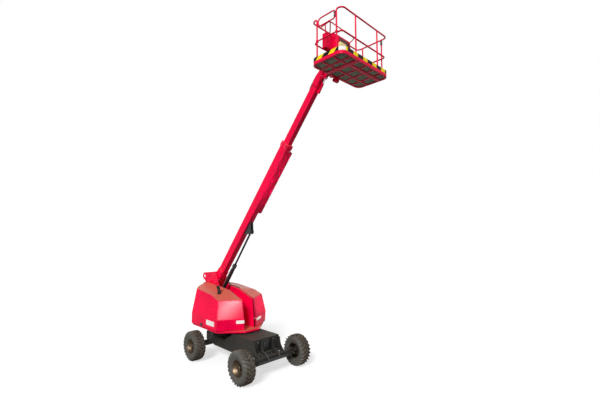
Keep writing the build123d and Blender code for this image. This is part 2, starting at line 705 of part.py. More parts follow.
# Turntable base: a thin plate with a rim, following the hoods' foot
base_bottom_z = SLEW_TOP_Z + RUNNING_GAP
base_top_z = BODY_BOTTOM_Z - SWING_GAP
foot_corner, foot_side, foot_tail = BODY_LEVELS[0][2:]
with BuildPart() as turntable_base:
    with BuildSketch(Plane.XY.offset(base_bottom_z)) as base_outline:
        with BuildLine():
            base_side = foot_side - BASE_INSET
            base_tail = foot_tail - BASE_INSET
            base_tangent = -sqrt(base_tail**2 - base_side**2)
            tail_middle = radians(BASE_TAIL_MIDDLE)
            nose = Line((BASE_NOSE_X, 0), (BASE_NOSE_X, BASE_NOSE_HALF))
            front = Line(nose @ 1, (foot_corner - BASE_INSET, base_side))
            flank = Line(front @ 1, (base_tangent, base_side))
            tail_arc = ThreePointArc(
                flank @ 1,
                (-base_tail * cos(tail_middle), base_tail * sin(tail_middle)),
                (-base_tail, 0),
            )
            Line(tail_arc @ 1, nose @ 0)
        make_face()
        mirror(about=Plane.XZ)
    extrude(amount=base_top_z - base_bottom_z)
    with BuildSketch(Plane.XY.offset(base_bottom_z)):
        add(base_outline.sketch)
        offset(amount=-BASE_RIM_WALL, mode=Mode.REPLACE, kind=Kind.INTERSECTION)
        Circle(SLEW_RING_RADIUS, mode=Mode.SUBTRACT)
    extrude(amount=base_top_z - base_bottom_z - BASE_PLATE, mode=Mode.SUBTRACT)
keep(turntable_base.part, "turntable_base")

# Tower plates: the boom channel's two walls, each rising to the pivot bore and a rear eye
tower_outer_y = CHANNEL_HALF - SWING_GAP
tower_inner_y = tower_outer_y - TOWER_PLATE
wall_front_z = TOP_FRONT_Z - HOOD_WALL
wall_rear_z = TOP_KNEE_Z + (TOP_REAR_Z - TOP_KNEE_Z) / 2
eye_rim_radius = TOWER_EYE_RADIUS + TOWER_EYE_RIM
with BuildPart() as tower_plates:
    for side in (-1, 1):
        plate_middle = side * (tower_inner_y + TOWER_PLATE / 2)
        with BuildSketch(Plane.XZ.offset(-plate_middle)):
            with BuildLine():
                Polyline(
                    (TOWER_REAR_X, base_top_z),
                    (TOWER_FRONT_X, base_top_z),
                    (TOWER_FRONT_X, BODY_CREASE_Z),
                    (TOWER_BROW_X, wall_front_z),
                    (TOP_KNEE_X, TOP_KNEE_Z - HOOD_WALL),
                    (TOWER_HEEL_X, wall_rear_z),
                    (TOWER_SHOULDER_X, TOWER_SHOULDER_Z),
                    (TOWER_TOP_X, TOWER_TOP_Z),
                    (TOWER_EYE_X, TOWER_EYE_Z + eye_rim_radius),
                    (TOWER_EYE_X - eye_rim_radius, TOWER_EYE_Z),
                    (TOWER_EYE_X, TOWER_EYE_Z - eye_rim_radius),
                    (TOWER_REAR_X, TOWER_REAR_Z),
                    close=True,
                )
            make_face()
            with Locations((TOWER_EYE_X, TOWER_EYE_Z)):
                Circle(eye_rim_radius)
                Circle(TOWER_EYE_RADIUS, mode=Mode.SUBTRACT)
            with Locations((BOOM_PIVOT_X, BOOM_PIVOT_Z)):
                Circle(PIVOT_PIN_RADIUS + RUNNING_GAP, mode=Mode.SUBTRACT)
            with Locations((LIFT_BASE_X, LIFT_BASE_Z)):
                Circle(LIFT_PIN_RADIUS + RUNNING_GAP, mode=Mode.SUBTRACT)
        extrude(amount=TOWER_PLATE / 2, both=True)
        lug_width = HINGE_Y + HINGE_RADIUS - tower_outer_y
        for hinge_x in HINGE_XS:
            with Locations((hinge_x, side * (tower_outer_y + lug_width / 2), HINGE_Z)):
                Box(HINGE_LUG, lug_width, 2 * HINGE_RADIUS)
            with BuildSketch(cross_plane(hinge_x, side * HINGE_Y, HINGE_Z)):
                Circle(HINGE_PIN)
            extrude(amount=HINGE_LUG / 2 + HINGE_LEAF + 2 * HINGE_PLAY)
keep(tower_plates.part, "tower_plates")

# Pins: boom pivot and lift cylinder foot, both across the tower plates, with round heads
pin_length = 2 * (tower_inner_y + TOWER_PLATE)
with BuildPart() as pivot_pins:
    for pin_x, pin_z, pin_radius in (
        (BOOM_PIVOT_X, BOOM_PIVOT_Z, PIVOT_PIN_RADIUS),
        (LIFT_BASE_X, LIFT_BASE_Z, LIFT_PIN_RADIUS),
    ):
        with BuildSketch(side_plane(pin_x, pin_z)):
            Circle(pin_radius)
        extrude(amount=pin_length / 2, both=True)
        for side in (-1, 1):
            head = side_plane(pin_x, pin_z, side * (pin_length / 2))
            with BuildSketch(head):
                Circle(pin_radius * PIN_HEAD_RATIO)
            extrude(amount=-side * PIN_HEAD)
keep(pivot_pins.part, "pivot_pins")

# Counterweight: the round tail of the body behind the hoods, slotted for the tower plates
with BuildPart() as counterweight:
    for height, *_, tail in BODY_LEVELS:
        tail_y = sqrt(tail**2 - HOOD_SPLIT_X**2)
        seat = base_top_z if height == BODY_BOTTOM_Z else height
        with BuildSketch(Plane.XY.offset(seat)):
            with BuildLine():
                tail_arc = ThreePointArc((HOOD_SPLIT_X, tail_y), (-tail, 0), (HOOD_SPLIT_X, -tail_y))
                Line(tail_arc @ 1, tail_arc @ 0)
            make_face()
    loft(ruled=True)
    tail_top = Plane(origin=(HOOD_SPLIT_X, 0, TOP_REAR_Z), z_dir=(-TOP_CROSS_FALL, 0, 1))
    split(bisect_by=tail_top, keep=Keep.BOTTOM)
    add(tower_plates.part, mode=Mode.SUBTRACT)
keep(counterweight.part, "counterweight")

# Engine and fluid tank: plain masses on the base under the hoods
for node, size, centre_y in (
    ("engine_block", ENGINE_SIZE, ENGINE_CENTRE_Y),
    ("fluid_tank", TANK_SIZE, TANK_CENTRE_Y),
):
    with BuildPart() as mass:
        with Locations((0, centre_y, base_top_z)):
            Box(*size, align=(Align.CENTER, Align.CENTER, Align.MIN))
        fillet(mass.edges().filter_by(Axis.Z), radius=MASS_CORNER)
    keep(mass.part, node)

# Base boom: a rounded box tube with heel plates that turn on the pivot pin
half_base = BASE_WIDTH / 2
half_base_depth = BASE_DEPTH / 2
with BuildPart() as base_boom:
    with BuildSketch(boom_section(BASE_START)):
        RectangleRounded(BASE_WIDTH, BASE_DEPTH, BASE_CORNER)
        Rectangle(BASE_WIDTH - 2 * BASE_WALL, BASE_DEPTH - 2 * BASE_WALL, mode=Mode.SUBTRACT)
    extrude(amount=BASE_END - BASE_START)
    for side in (-1, 1):
        with BuildSketch(boom_side(side * half_base)):
            with BuildLine():
                Polyline(
                    (0, BOOM_AXIS_DROP + HEEL_RADIUS),
                    (HEEL_LAP, half_base_depth - BASE_CORNER),
                    (HEEL_LAP, BASE_CORNER - half_base_depth),
                    (BASE_START, BASE_CORNER - half_base_depth),
                    (0, BOOM_AXIS_DROP - HEEL_RADIUS),
                    close=True,
                )
            make_face()
            with Locations((0, BOOM_AXIS_DROP)):
                Circle(HEEL_RADIUS)
        extrude(amount=-side * HEEL_PLATE)
        with BuildSketch(boom_side(side * half_base)):
            with Locations((0, BOOM_AXIS_DROP)):
                Circle(HEEL_BOSS_RADIUS)
        extrude(amount=-side * (tower_inner_y - RUNNING_GAP - half_base))
    with BuildSketch(boom_side()):
        with Locations((0, BOOM_AXIS_DROP)):
            Circle(PIVOT_PIN_RADIUS + RUNNING_GAP)
    extrude(amount=tower_inner_y, both=True, mode=Mode.SUBTRACT)
keep(base_boom.part, "base_boom")

# Collar: a sleeve on the tube's end with a guide ring that the fly runs in
collar_size = (BASE_WIDTH + 2 * COLLAR_WALL, BASE_DEPTH + 2 * COLLAR_WALL)
collar_corner = BASE_CORNER + COLLAR_WALL
with BuildPart() as boom_collar:
    with BuildSketch(boom_section(BASE_END - COLLAR_LAP)):
        RectangleRounded(*collar_size, collar_corner)
        RectangleRounded(BASE_WIDTH, BASE_DEPTH, BASE_CORNER, mode=Mode.SUBTRACT)
    extrude(amount=COLLAR_LAP)
    with BuildSketch(boom_section(BASE_END)):
        RectangleRounded(*collar_size, collar_corner)
        RectangleRounded(
            FLY_WIDTH + 2 * RUNNING_GAP,
            FLY_DEPTH + 2 * RUNNING_GAP,
            FLY_CORNER + RUNNING_GAP,
            mode=Mode.SUBTRACT,
        )
    extrude(amount=COLLAR_LIP)
keep(boom_collar.part, "boom_collar")

# Hose tray: an open channel on the left flank, flush with the underside, and the hose chain's links in it
tray_end = BASE_END - COLLAR_LAP - TRAY_END_GAP
tray_middle = half_base + TRAY_WIDTH / 2
tray_floor = -half_base_depth
with BuildPart() as hose_tray:
    with BuildSketch(boom_section(TRAY_START)):
        with Locations((tray_middle, tray_floor)):
            Rectangle(TRAY_WIDTH, TRAY_DEPTH, align=(Align.CENTER, Align.MIN))
        with Locations((tray_middle, tray_floor + TRAY_WALL)):
            Rectangle(
                TRAY_WIDTH - 2 * TRAY_WALL,
                TRAY_DEPTH,
                align=(Align.CENTER, Align.MIN),
                mode=Mode.SUBTRACT,
            )
    extrude(amount=tray_end - TRAY_START)
keep(hose_tray.part, "hose_tray")
chain_floor = tray_floor + TRAY_WALL
chain_width = TRAY_WIDTH - 4 * TRAY_WALL
chain_centre = TRAY_START + TRAY_END_GAP + CHAIN_LINKS * CHAIN_PITCH / 2
with BuildPart() as hose_chain:
    with BuildSketch(boom_side(tray_middle)):
        with Locations((chain_centre, chain_floor)):
            Rectangle(CHAIN_LINKS * CHAIN_PITCH, CHAIN_CORE, align=(Align.CENTER, Align.MIN))
            with GridLocations(CHAIN_PITCH, 0, CHAIN_LINKS, 1):
                Rectangle(CHAIN_LINK, TRAY_DEPTH - 2 * TRAY_WALL, align=(Align.CENTER, Align.MIN))
    extrude(amount=chain_width / 2, both=True)
keep(hose_chain.part, "hose_chain")

# Cylinder bracket: two cheeks under the boom, open between, with a pin boss on each
lift_eye_y = BOOM_AXIS_DROP - LIFT_EYE_DROP
cheek_inner = LIFT_EYE_WIDTH / 2 + BRACKET_GAP
with BuildPart() as cylinder_bracket:
    for side in (-1, 1):
        with BuildSketch(boom_side(side * cheek_inner)):
            with BuildLine():
                Polyline(
                    (LIFT_EYE_ALONG - BRACKET_LENGTH / 2, -half_base_depth),
                    (LIFT_EYE_ALONG + BRACKET_LENGTH / 2, -half_base_depth),
                    (LIFT_EYE_ALONG + BRACKET_NOSE, lift_eye_y),
                    (LIFT_EYE_ALONG - BRACKET_NOSE, lift_eye_y),
                    close=True,
                )
            make_face()
            with Locations((LIFT_EYE_ALONG, lift_eye_y)):
                Circle(BRACKET_NOSE)
        extrude(amount=-side * BRACKET_CHEEK)
        with BuildSketch(boom_side(side * (cheek_inner + BRACKET_CHEEK))):
            with Locations((LIFT_EYE_ALONG, lift_eye_y)):
                Circle(LIFT_PIN_RADIUS * PIN_HEAD_RATIO)
        extrude(amount=-side * PIN_HEAD)
keep(cylinder_bracket.part, "cylinder_bracket")

# Lift cylinder: barrel with a wide foot on its pin, and a rod with piston and eye
lift_top = boom_point(LIFT_EYE_ALONG, LIFT_EYE_DROP)
lift_length = hypot(lift_top.X - LIFT_BASE_X, lift_top.Z - LIFT_BASE_Z)
lift_dir = ((lift_top.X - LIFT_BASE_X) / lift_length, 0, (lift_top.Z - LIFT_BASE_Z) / lift_length)
lift_foot = Plane(origin=(LIFT_BASE_X, 0, LIFT_BASE_Z), x_dir=(0, 1, 0), z_dir=lift_dir)
barrel_bore = LIFT_BARREL_RADIUS - LIFT_BARREL_WALL
with BuildPart() as lift_barrel:
    with BuildSketch(lift_foot):
        Circle(LIFT_BARREL_RADIUS)
    extrude(amount=LIFT_BARREL_LENGTH)
    with BuildSketch(lift_foot.offset(LIFT_BARREL_LENGTH - LIFT_GLAND_LENGTH)):
        Circle(LIFT_GLAND_RADIUS)
    extrude(amount=LIFT_GLAND_LENGTH)
    with BuildSketch(side_plane(LIFT_BASE_X, LIFT_BASE_Z)):
        Circle(LIFT_EYE_RADIUS)
    extrude(amount=tower_inner_y - RUNNING_GAP, both=True)
    with BuildSketch(lift_foot.offset(LIFT_EYE_RADIUS + LIFT_BARREL_WALL)):
        Circle(barrel_bore)
    extrude(amount=LIFT_BARREL_LENGTH - LIFT_GLAND_LENGTH - LIFT_EYE_RADIUS, mode=Mode.SUBTRACT)
    with BuildSketch(lift_foot.offset(LIFT_EYE_RADIUS + LIFT_BARREL_WALL)):
        Circle(LIFT_ROD_RADIUS + RUNNING_GAP)
    extrude(amount=LIFT_BARREL_LENGTH, mode=Mode.SUBTRACT)
    with BuildSketch(side_plane(LIFT_BASE_X, LIFT_BASE_Z)):
        Circle(LIFT_PIN_RADIUS + RUNNING_GAP)
    extrude(amount=tower_inner_y, both=True, mode=Mode.SUBTRACT)
keep(lift_barrel.part, "lift_barrel")
with BuildPart() as lift_rod:
    with BuildSketch(lift_foot.offset(lift_length)):
        Circle(LIFT_ROD_RADIUS)
    extrude(amount=-LIFT_ROD_LENGTH)
    with BuildSketch(lift_foot.offset(lift_length - LIFT_ROD_LENGTH)):
        Circle(barrel_bore - RUNNING_GAP)
    extrude(amount=LIFT_PISTON)
    with BuildSketch(side_plane(lift_top.X, lift_top.Z)):
        Circle(LIFT_EYE_RADIUS)
    extrude(amount=LIFT_EYE_WIDTH / 2, both=True)
keep(lift_rod.part, "lift_rod")

# Fly boom: the inner tube, with slide pads at its rear end
half_fly = FLY_WIDTH / 2
half_fly_depth = FLY_DEPTH / 2
pad_inset = BASE_WALL + RUNNING_GAP
with BuildPart() as fly_boom:
    with BuildSketch(boom_section(FLY_REAR)):
        RectangleRounded(FLY_WIDTH, FLY_DEPTH, FLY_CORNER)
    extrude(amount=FLY_FRONT - FLY_REAR)
    with BuildSketch(boom_section(FLY_REAR)):
        Rectangle(BASE_WIDTH - 2 * pad_inset, BASE_DEPTH - 2 * pad_inset)
    extrude(amount=SLIDE_PAD_LENGTH)
    with BuildSketch(boom_section(FLY_REAR)):
        Rectangle(FLY_WIDTH - 2 * FLY_WALL, FLY_DEPTH - 2 * FLY_WALL)
    extrude(amount=FLY_FRONT - FLY_REAR, mode=Mode.SUBTRACT)
keep(fly_boom.part, "fly_boom")

# Fly head: two cheeks on the tube's end that carry the tip pin
with BuildPart() as fly_head:
    for side in (-1, 1):
        with BuildSketch(boom_side(side * half_fly)):
            with BuildLine():
                Polyline(
                    (FLY_FRONT - HEAD_LAP, half_fly_depth - FLY_CORNER),
                    (FLY_FRONT, half_fly_depth - FLY_CORNER),
                    (TIP_PIN_ALONG, HEAD_NOSE_RADIUS),
                    (TIP_PIN_ALONG, -HEAD_NOSE_RADIUS),
                    (FLY_FRONT, FLY_CORNER - half_fly_depth),
                    (FLY_FRONT - HEAD_LAP, FLY_CORNER - half_fly_depth),
                    close=True,
                )
            make_face()
            with Locations((TIP_PIN_ALONG, 0)):
                Circle(HEAD_NOSE_RADIUS)
        extrude(amount=-side * HEAD_PLATE)
    with BuildSketch(boom_side()):
        with Locations((TIP_PIN_ALONG, 0)):
            Circle(TIP_PIN_RADIUS)
    extrude(amount=half_fly + HEAD_PLATE + PIN_HEAD, both=True)
keep(fly_head.part, "fly_head")

# Levelling cylinder: barrel on a saddle under the fly, and a rod out to the level bracket's horn
tip = boom_point(TIP_PIN_ALONG, BOOM_AXIS_DROP)
horn_x = tip.X + LEVEL_HORN_REACH * cos(radians(LEVEL_HORN_ANGLE))
horn_z = tip.Z - LEVEL_HORN_REACH * sin(radians(LEVEL_HORN_ANGLE))
level_base = boom_point(TIP_PIN_ALONG - LEVEL_BASE_BACK, BOOM_AXIS_DROP + LEVEL_BASE_DROP)
level_length = hypot(horn_x - level_base.X, horn_z - level_base.Z)
level_dir = ((horn_x - level_base.X) / level_length, 0, (horn_z - level_base.Z) / level_length)
level_foot = Plane(origin=level_base, x_dir=(0, 1, 0), z_dir=level_dir)
level_bore = LEVEL_BARREL_RADIUS - LEVEL_BARREL_WALL
with BuildPart() as level_barrel:
    with BuildSketch(level_foot):
        Circle(LEVEL_BARREL_RADIUS)
    extrude(amount=LEVEL_BARREL_LENGTH)
    with BuildSketch(boom_side()):
        with Locations((TIP_PIN_ALONG - LEVEL_BASE_BACK, -half_fly_depth)):
            Rectangle(2 * LEVEL_SADDLE, LEVEL_BASE_DROP - half_fly_depth, align=(Align.MIN, Align.MAX))
    extrude(amount=LEVEL_BARREL_WALL, both=True)
    with BuildSketch(level_foot.offset(LEVEL_BARREL_WALL)):
        Circle(LEVEL_ROD_RADIUS + RUNNING_GAP)
    extrude(amount=LEVEL_BARREL_LENGTH, mode=Mode.SUBTRACT)
    with BuildSketch(level_foot.offset(LEVEL_BARREL_WALL)):
        Circle(level_bore)
    extrude(amount=LEVEL_BARREL_LENGTH - 3 * LEVEL_BARREL_WALL, mode=Mode.SUBTRACT)
keep(level_barrel.part, "level_barrel")
with BuildPart() as level_rod:
    with BuildSketch(level_foot.offset(level_length)):
        Circle(LEVEL_ROD_RADIUS)
    extrude(amount=-LEVEL_ROD_LENGTH)
    with BuildSketch(side_plane(horn_x, horn_z)):
        Circle(LEVEL_EYE_RADIUS)
    extrude(amount=LEVEL_EYE_WIDTH / 2, both=True)
keep(level_rod.part, "level_rod")

# Level bracket: two plates from the tip pin to the rotator, with a horn for the levelling rod
rotator_x = tip.X + ROTATOR_REACH
level_inner = LEVEL_EYE_WIDTH / 2 + BRACKET_GAP
with BuildPart() as level_bracket:
    for side in (-1, 1):
        inner = side_plane(tip.X, tip.Z, side * level_inner)
        with BuildSketch(inner):
            Circle(LEVEL_BOSS_RADIUS)
            with Locations((horn_x - tip.X, horn_z - tip.Z)):
                Circle(LEVEL_HORN_RADIUS)
            with BuildLine():
                Polyline(
                    (0, LEVEL_BOSS_RADIUS),
                    (ROTATOR_REACH, LEVEL_ARM_HALF),
                    (ROTATOR_REACH, -LEVEL_ARM_HALF),
                    (horn_x - tip.X + LEVEL_HORN_RADIUS, horn_z - tip.Z),
                    (horn_x - tip.X - LEVEL_HORN_RADIUS, horn_z - tip.Z),
                    (-LEVEL_BOSS_RADIUS, 0),
                    close=True,
                )
            make_face()
        extrude(amount=-side * LEVEL_PLATE)
        with BuildSketch(side_plane(tip.X, tip.Z, side * (level_inner + LEVEL_PLATE))):
            Circle(LEVEL_BOSS_RADIUS)
        extrude(amount=-side * (half_fly - RUNNING_GAP - level_inner - LEVEL_PLATE))
    with BuildSketch(side_plane(tip.X, tip.Z)):
        Circle(TIP_PIN_RADIUS + RUNNING_GAP)
    extrude(amount=half_fly, both=True, mode=Mode.SUBTRACT)
    with BuildSketch(Plane(origin=(rotator_x, 0, tip.Z + ROTATOR_BOTTOM))):
        Circle(ROTATOR_RADIUS)
    extrude(amount=ROTATOR_TOP - ROTATOR_BOTTOM, mode=Mode.SUBTRACT)
keep(level_bracket.part, "level_bracket")

# Rotator: the upright turning unit held by the level bracket's plates
with BuildPart() as rotator:
    with BuildSketch(Plane(origin=(rotator_x, 0, tip.Z + ROTATOR_BOTTOM))):
        Circle(ROTATOR_RADIUS)
    extrude(amount=ROTATOR_TOP - ROTATOR_BOTTOM)
    chamfer(rotator.edges().filter_by(GeomType.CIRCLE), length=ROTATOR_CHAMFER)
keep(rotator.part, "rotator")

# Platform frame: rounded ring, cross members, and the arm with its fork round the rotator and a tie lug
platform_x = tip.X + PLATFORM_REACH
frame_bottom = tip.Z - PLATFORM_DROP
frame_top = frame_bottom + FRAME_HEIGHT
platform_rear = platform_x - PLATFORM_DEPTH / 2
half_length = PLATFORM_LENGTH / 2
fork_bottom = tip.Z + ROTATOR_BOTTOM - RUNNING_GAP
fork_top = tip.Z + ROTATOR_TOP + RUNNING_GAP
lug_x = platform_rear - LUG_BACK
lug_z = frame_bottom - LUG_DROP
inside_depth = PLATFORM_DEPTH - 2 * FRAME_WALL
inside_length = PLATFORM_LENGTH - 2 * FRAME_WALL
with BuildPart() as platform_frame:
    with BuildSketch(Plane(origin=(platform_x, 0, frame_bottom))):
        RectangleRounded(PLATFORM_DEPTH, PLATFORM_LENGTH, PLATFORM_CORNER)
        RectangleRounded(inside_depth, inside_length, PLATFORM_CORNER - FRAME_WALL, mode=Mode.SUBTRACT)
    extrude(amount=FRAME_HEIGHT)
keep(platform_frame.part, "platform_frame")

# Floor members: low cross and long bars inside the ring, one wide beam and one heavy beam from it to the left end
with BuildPart() as floor_members:
    with BuildSketch(Plane(origin=(platform_x, 0, frame_bottom))):
        with GridLocations(0, MEMBER_SPACING, 1, MEMBER_COUNT):
            Rectangle(inside_depth, MEMBER_WIDTH)
        with Locations((0, WIDE_BEAM_Y)):
            Rectangle(inside_depth, WIDE_BEAM_WIDTH)
        with GridLocations(LONG_MEMBER_SPACING, 0, 2, 1):
            Rectangle(MEMBER_WIDTH, inside_length)
        with Locations((HEAVY_BEAM_X, WIDE_BEAM_Y)):
            Rectangle(HEAVY_BEAM_WIDTH, inside_length / 2 - WIDE_BEAM_Y, align=(Align.CENTER, Align.MIN))
    extrude(amount=MEMBER_HEIGHT)
keep(floor_members.part, "floor_members")

# Platform arm: a tapered web with the rotator's fork plates and the tie lug, butted to the ring
with BuildPart() as platform_arm:
    with BuildSketch(side_plane(0, 0)):
        with BuildLine():
            Polyline(
                (rotator_x + FORK_REACH, fork_bottom - FORK_PLATE),
                (rotator_x + FORK_REACH, fork_top + FORK_PLATE),
                (platform_rear, frame_top),
                (platform_rear + FRAME_WALL / 2, frame_top),
                (platform_rear + FRAME_WALL / 2, frame_bottom),
                close=True,
            )
        make_face()
        with Locations((lug_x, lug_z)):
            Circle(LUG_RADIUS)
            Circle(LUG_HOLE_RADIUS, mode=Mode.SUBTRACT)
    extrude(amount=FORK_WIDTH / 2, both=True)
    for plate_z in (fork_bottom - FORK_PLATE, fork_top):
        with BuildSketch(Plane(origin=(rotator_x, 0, plate_z))):
            Circle(FORK_WIDTH / 2)
            Rectangle(FORK_REACH, FORK_WIDTH, align=(Align.MIN, Align.CENTER))
        extrude(amount=FORK_PLATE)
    add(platform_frame.part, mode=Mode.SUBTRACT)
keep(platform_arm.part, "platform_arm")

# Floor: one sheet resting on the members inside the ring
with BuildPart() as floor_mesh:
    with BuildSketch(Plane(origin=(platform_x, 0, frame_bottom + MEMBER_HEIGHT))):
        RectangleRounded(inside_depth, inside_length, PLATFORM_CORNER - FRAME_WALL)
    extrude(amount=MESH_THICKNESS)
keep(floor_mesh.part, "floor_mesh")

# Toe board: a thin band standing on the frame all round
with BuildPart() as toe_board:
    with BuildSketch(Plane(origin=(platform_x, 0, frame_top))):
        RectangleRounded(PLATFORM_DEPTH, PLATFORM_LENGTH, PLATFORM_CORNER)
        RectangleRounded(
            PLATFORM_DEPTH - 2 * TOE_THICKNESS,
            PLATFORM_LENGTH - 2 * TOE_THICKNESS,
            PLATFORM_CORNER - TOE_THICKNESS,
            mode=Mode.SUBTRACT,
        )
    extrude(amount=TOE_HEIGHT)
keep(toe_board.part, "toe_board")

# Guard rails: top and mid rails round three sides, carried by posts, open at the entry on the right
rail_inset = FRAME_WALL / 2 + TOE_THICKNESS
rail_rear = platform_rear + rail_inset
rail_front = platform_x + PLATFORM_DEPTH / 2 - rail_inset
rail_side = half_length - rail_inset
entry_inset = RAIL_BEND + ENTRY_BEND + ENTRY_STRAIGHT
entry_rear = rail_rear + entry_inset
entry_front = rail_front - entry_inset


def rail_route(height, inset):
    """Corners of a rail round the platform at a height, drawn in by an inset, open at the entry."""
    level = frame_bottom + height
    side = rail_side - inset
    return [
        (entry_rear, -side, level),
        (rail_rear + inset, -side, level),
        (rail_rear + inset, side, level),
        (rail_front - inset, side, level),
        (rail_front - inset, -side, level),
        (entry_front, -side, level),
    ]


# Top rail: one tube that rises from the frame at the entry, runs round and comes down again
with BuildPart() as top_rail:
    with BuildLine() as top_route:
        FilletPolyline(
            (entry_rear, -rail_side, frame_top),
            *rail_route(TOP_RAIL_HEIGHT, 0),
            (entry_front, -rail_side, frame_top),
            radius=[ENTRY_BEND] + 4 * [RAIL_BEND] + [ENTRY_BEND],
        )
    with BuildSketch(Plane(origin=top_route.line @ 0, z_dir=top_route.line % 0)):
        Circle(RAIL_RADIUS)
    sweep()
keep(top_rail.part, "top_rail")

# Mid rail: runs along the inner side of the posts
mid_inset = 2 * RAIL_RADIUS + RUNNING_GAP
with BuildPart() as mid_rail:
    with BuildLine() as mid_route:
        FilletPolyline(*rail_route(MID_RAIL_HEIGHT, mid_inset), radius=RAIL_BEND - mid_inset)
    with BuildSketch(Plane(origin=mid_route.line @ 0, z_dir=mid_route.line % 0)):
        Circle(RAIL_RADIUS)
    sweep()
keep(mid_rail.part, "mid_rail")

# Posts: x, y of each, standing on the frame under the top rail
POSTS = [
    (rail_front, -rail_side * FRONT_POST_NEAR),
    (rail_front, rail_side * FRONT_POST_FAR),
    (entry_front, rail_side),
    (entry_rear, rail_side),
    (rail_rear, -rail_side * REAR_POST_NEAR),
    (rail_rear, rail_side * REAR_POST_FAR),
]
with BuildPart() as rail_posts:
    for post_x, post_y in POSTS:
        with BuildSketch(Plane(origin=(post_x, post_y, frame_top))):
            Circle(POST_RADIUS)
        extrude(amount=TOP_RAIL_HEIGHT - FRAME_HEIGHT)
    add(top_rail.part, mode=Mode.SUBTRACT)
keep(rail_posts.part, "rail_posts")

# Control console: a sloped box with a shallow wing that hooks on the near rear post
console_rear = rail_rear + RAIL_RADIUS
with BuildPart() as control_console:
    with BuildSketch(Plane.XZ.offset(-CONSOLE_CENTRE_Y)):
        with BuildLine():
            console_floor = frame_bottom + CONSOLE_BOTTOM
            Polyline(
                (console_rear, console_floor),
                (console_rear + CONSOLE_DEPTH, console_floor + CONSOLE_SLOPE / 2),
                (console_rear + CONSOLE_DEPTH, console_floor + CONSOLE_HEIGHT - CONSOLE_SLOPE),
                (console_rear + CONSOLE_SLOPE, console_floor + CONSOLE_HEIGHT),
                (console_rear, console_floor + CONSOLE_HEIGHT),
                close=True,
            )
        make_face()
    extrude(amount=CONSOLE_LENGTH / 2, both=True)
    fillet(control_console.edges().filter_by(Axis.Y), radius=CONSOLE_CORNER)
    with Locations((console_rear, CONSOLE_CENTRE_Y - CONSOLE_LENGTH / 2, console_floor)):
        Box(
            CONSOLE_WING_DEPTH,
            CONSOLE_WING_LENGTH,
            CONSOLE_HEIGHT - CONSOLE_SLOPE,
            align=(Align.MIN, Align.MAX, Align.MIN),
        )
keep(control_console.part, "control_console")

# Entry gate: a closed loop with two hinge sleeves beside the front entry post
gate_level = frame_bottom + TOP_RAIL_HEIGHT
gate_low = gate_level - GATE_BAR_HEIGHT
loop_bend = (gate_level - gate_low) * GATE_BEND
gate_hinge_x = entry_front - RAIL_RADIUS - GATE_HINGE_RADIUS - RUNNING_GAP
gate_end_x = entry_rear + RAIL_RADIUS + SWING_GAP + GATE_RADIUS
with BuildPart() as entry_gate:
    with BuildLine() as loop:
        FilletPolyline(
            (gate_hinge_x, -rail_side, gate_level - GATE_HINGE_INSET),
            (gate_hinge_x, -rail_side, gate_level),
            (gate_end_x, -rail_side, gate_level),
            (gate_end_x, -rail_side, gate_low),
            (gate_hinge_x, -rail_side, gate_low),
            (gate_hinge_x, -rail_side, gate_low + GATE_HINGE_INSET),
            radius=[GATE_HINGE_BEND, loop_bend, loop_bend, GATE_HINGE_BEND],
        )
    with BuildSketch(Plane(origin=loop.line @ 0, z_dir=loop.line % 0)):
        Circle(GATE_RADIUS)
    sweep()
    with BuildSketch(Plane(origin=loop.line @ 1)):
        Circle(GATE_RADIUS)
    extrude(amount=gate_level - gate_low - 2 * GATE_HINGE_INSET)
    for sleeve_z in (gate_level - GATE_HINGE_INSET, gate_low + GATE_HINGE_INSET):
        with Locations((gate_hinge_x, -rail_side, sleeve_z)):
            Cylinder(GATE_HINGE_RADIUS, GATE_HINGE_HEIGHT)
keep(entry_gate.part, "entry_gate")

# Drop bar: slides up the entry posts on a collar at each end
with BuildPart() as drop_bar:
    bar_z = frame_bottom + MID_RAIL_HEIGHT
    with BuildSketch(Plane(origin=(entry_rear, -rail_side, bar_z), x_dir=(0, 1, 0), z_dir=(1, 0, 0))):
        Circle(DROP_BAR_RADIUS)
    extrude(amount=entry_front - entry_rear)
    for post_x in (entry_rear, entry_front):
        with Locations((post_x, -rail_side, bar_z)):
            Cylinder(DROP_COLLAR_RADIUS, DROP_COLLAR_HEIGHT)
            Cylinder(RAIL_RADIUS + RUNNING_GAP, DROP_COLLAR_HEIGHT, mode=Mode.SUBTRACT)
        with Locations((post_x, mid_inset - RAIL_RADIUS - SWING_GAP - rail_side, bar_z)):
            Box(
                2 * DROP_COLLAR_RADIUS,
                DROP_COLLAR_RADIUS,
                DROP_COLLAR_HEIGHT,
                align=(Align.CENTER, Align.MIN, Align.CENTER),
                mode=Mode.SUBTRACT,
            )
keep(drop_bar.part, "drop_bar")
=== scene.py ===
"""Looks of the telescopic boom lift: its finishes, fitted details, studio and camera.

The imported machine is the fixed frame, in metres, +X the way the boom points and +Z up.
"""

import logging
import math
from collections.abc import Callable, Iterable, Sequence
from dataclasses import dataclass, replace
from enum import Enum

import bpy
from mathutils import Matrix, Vector


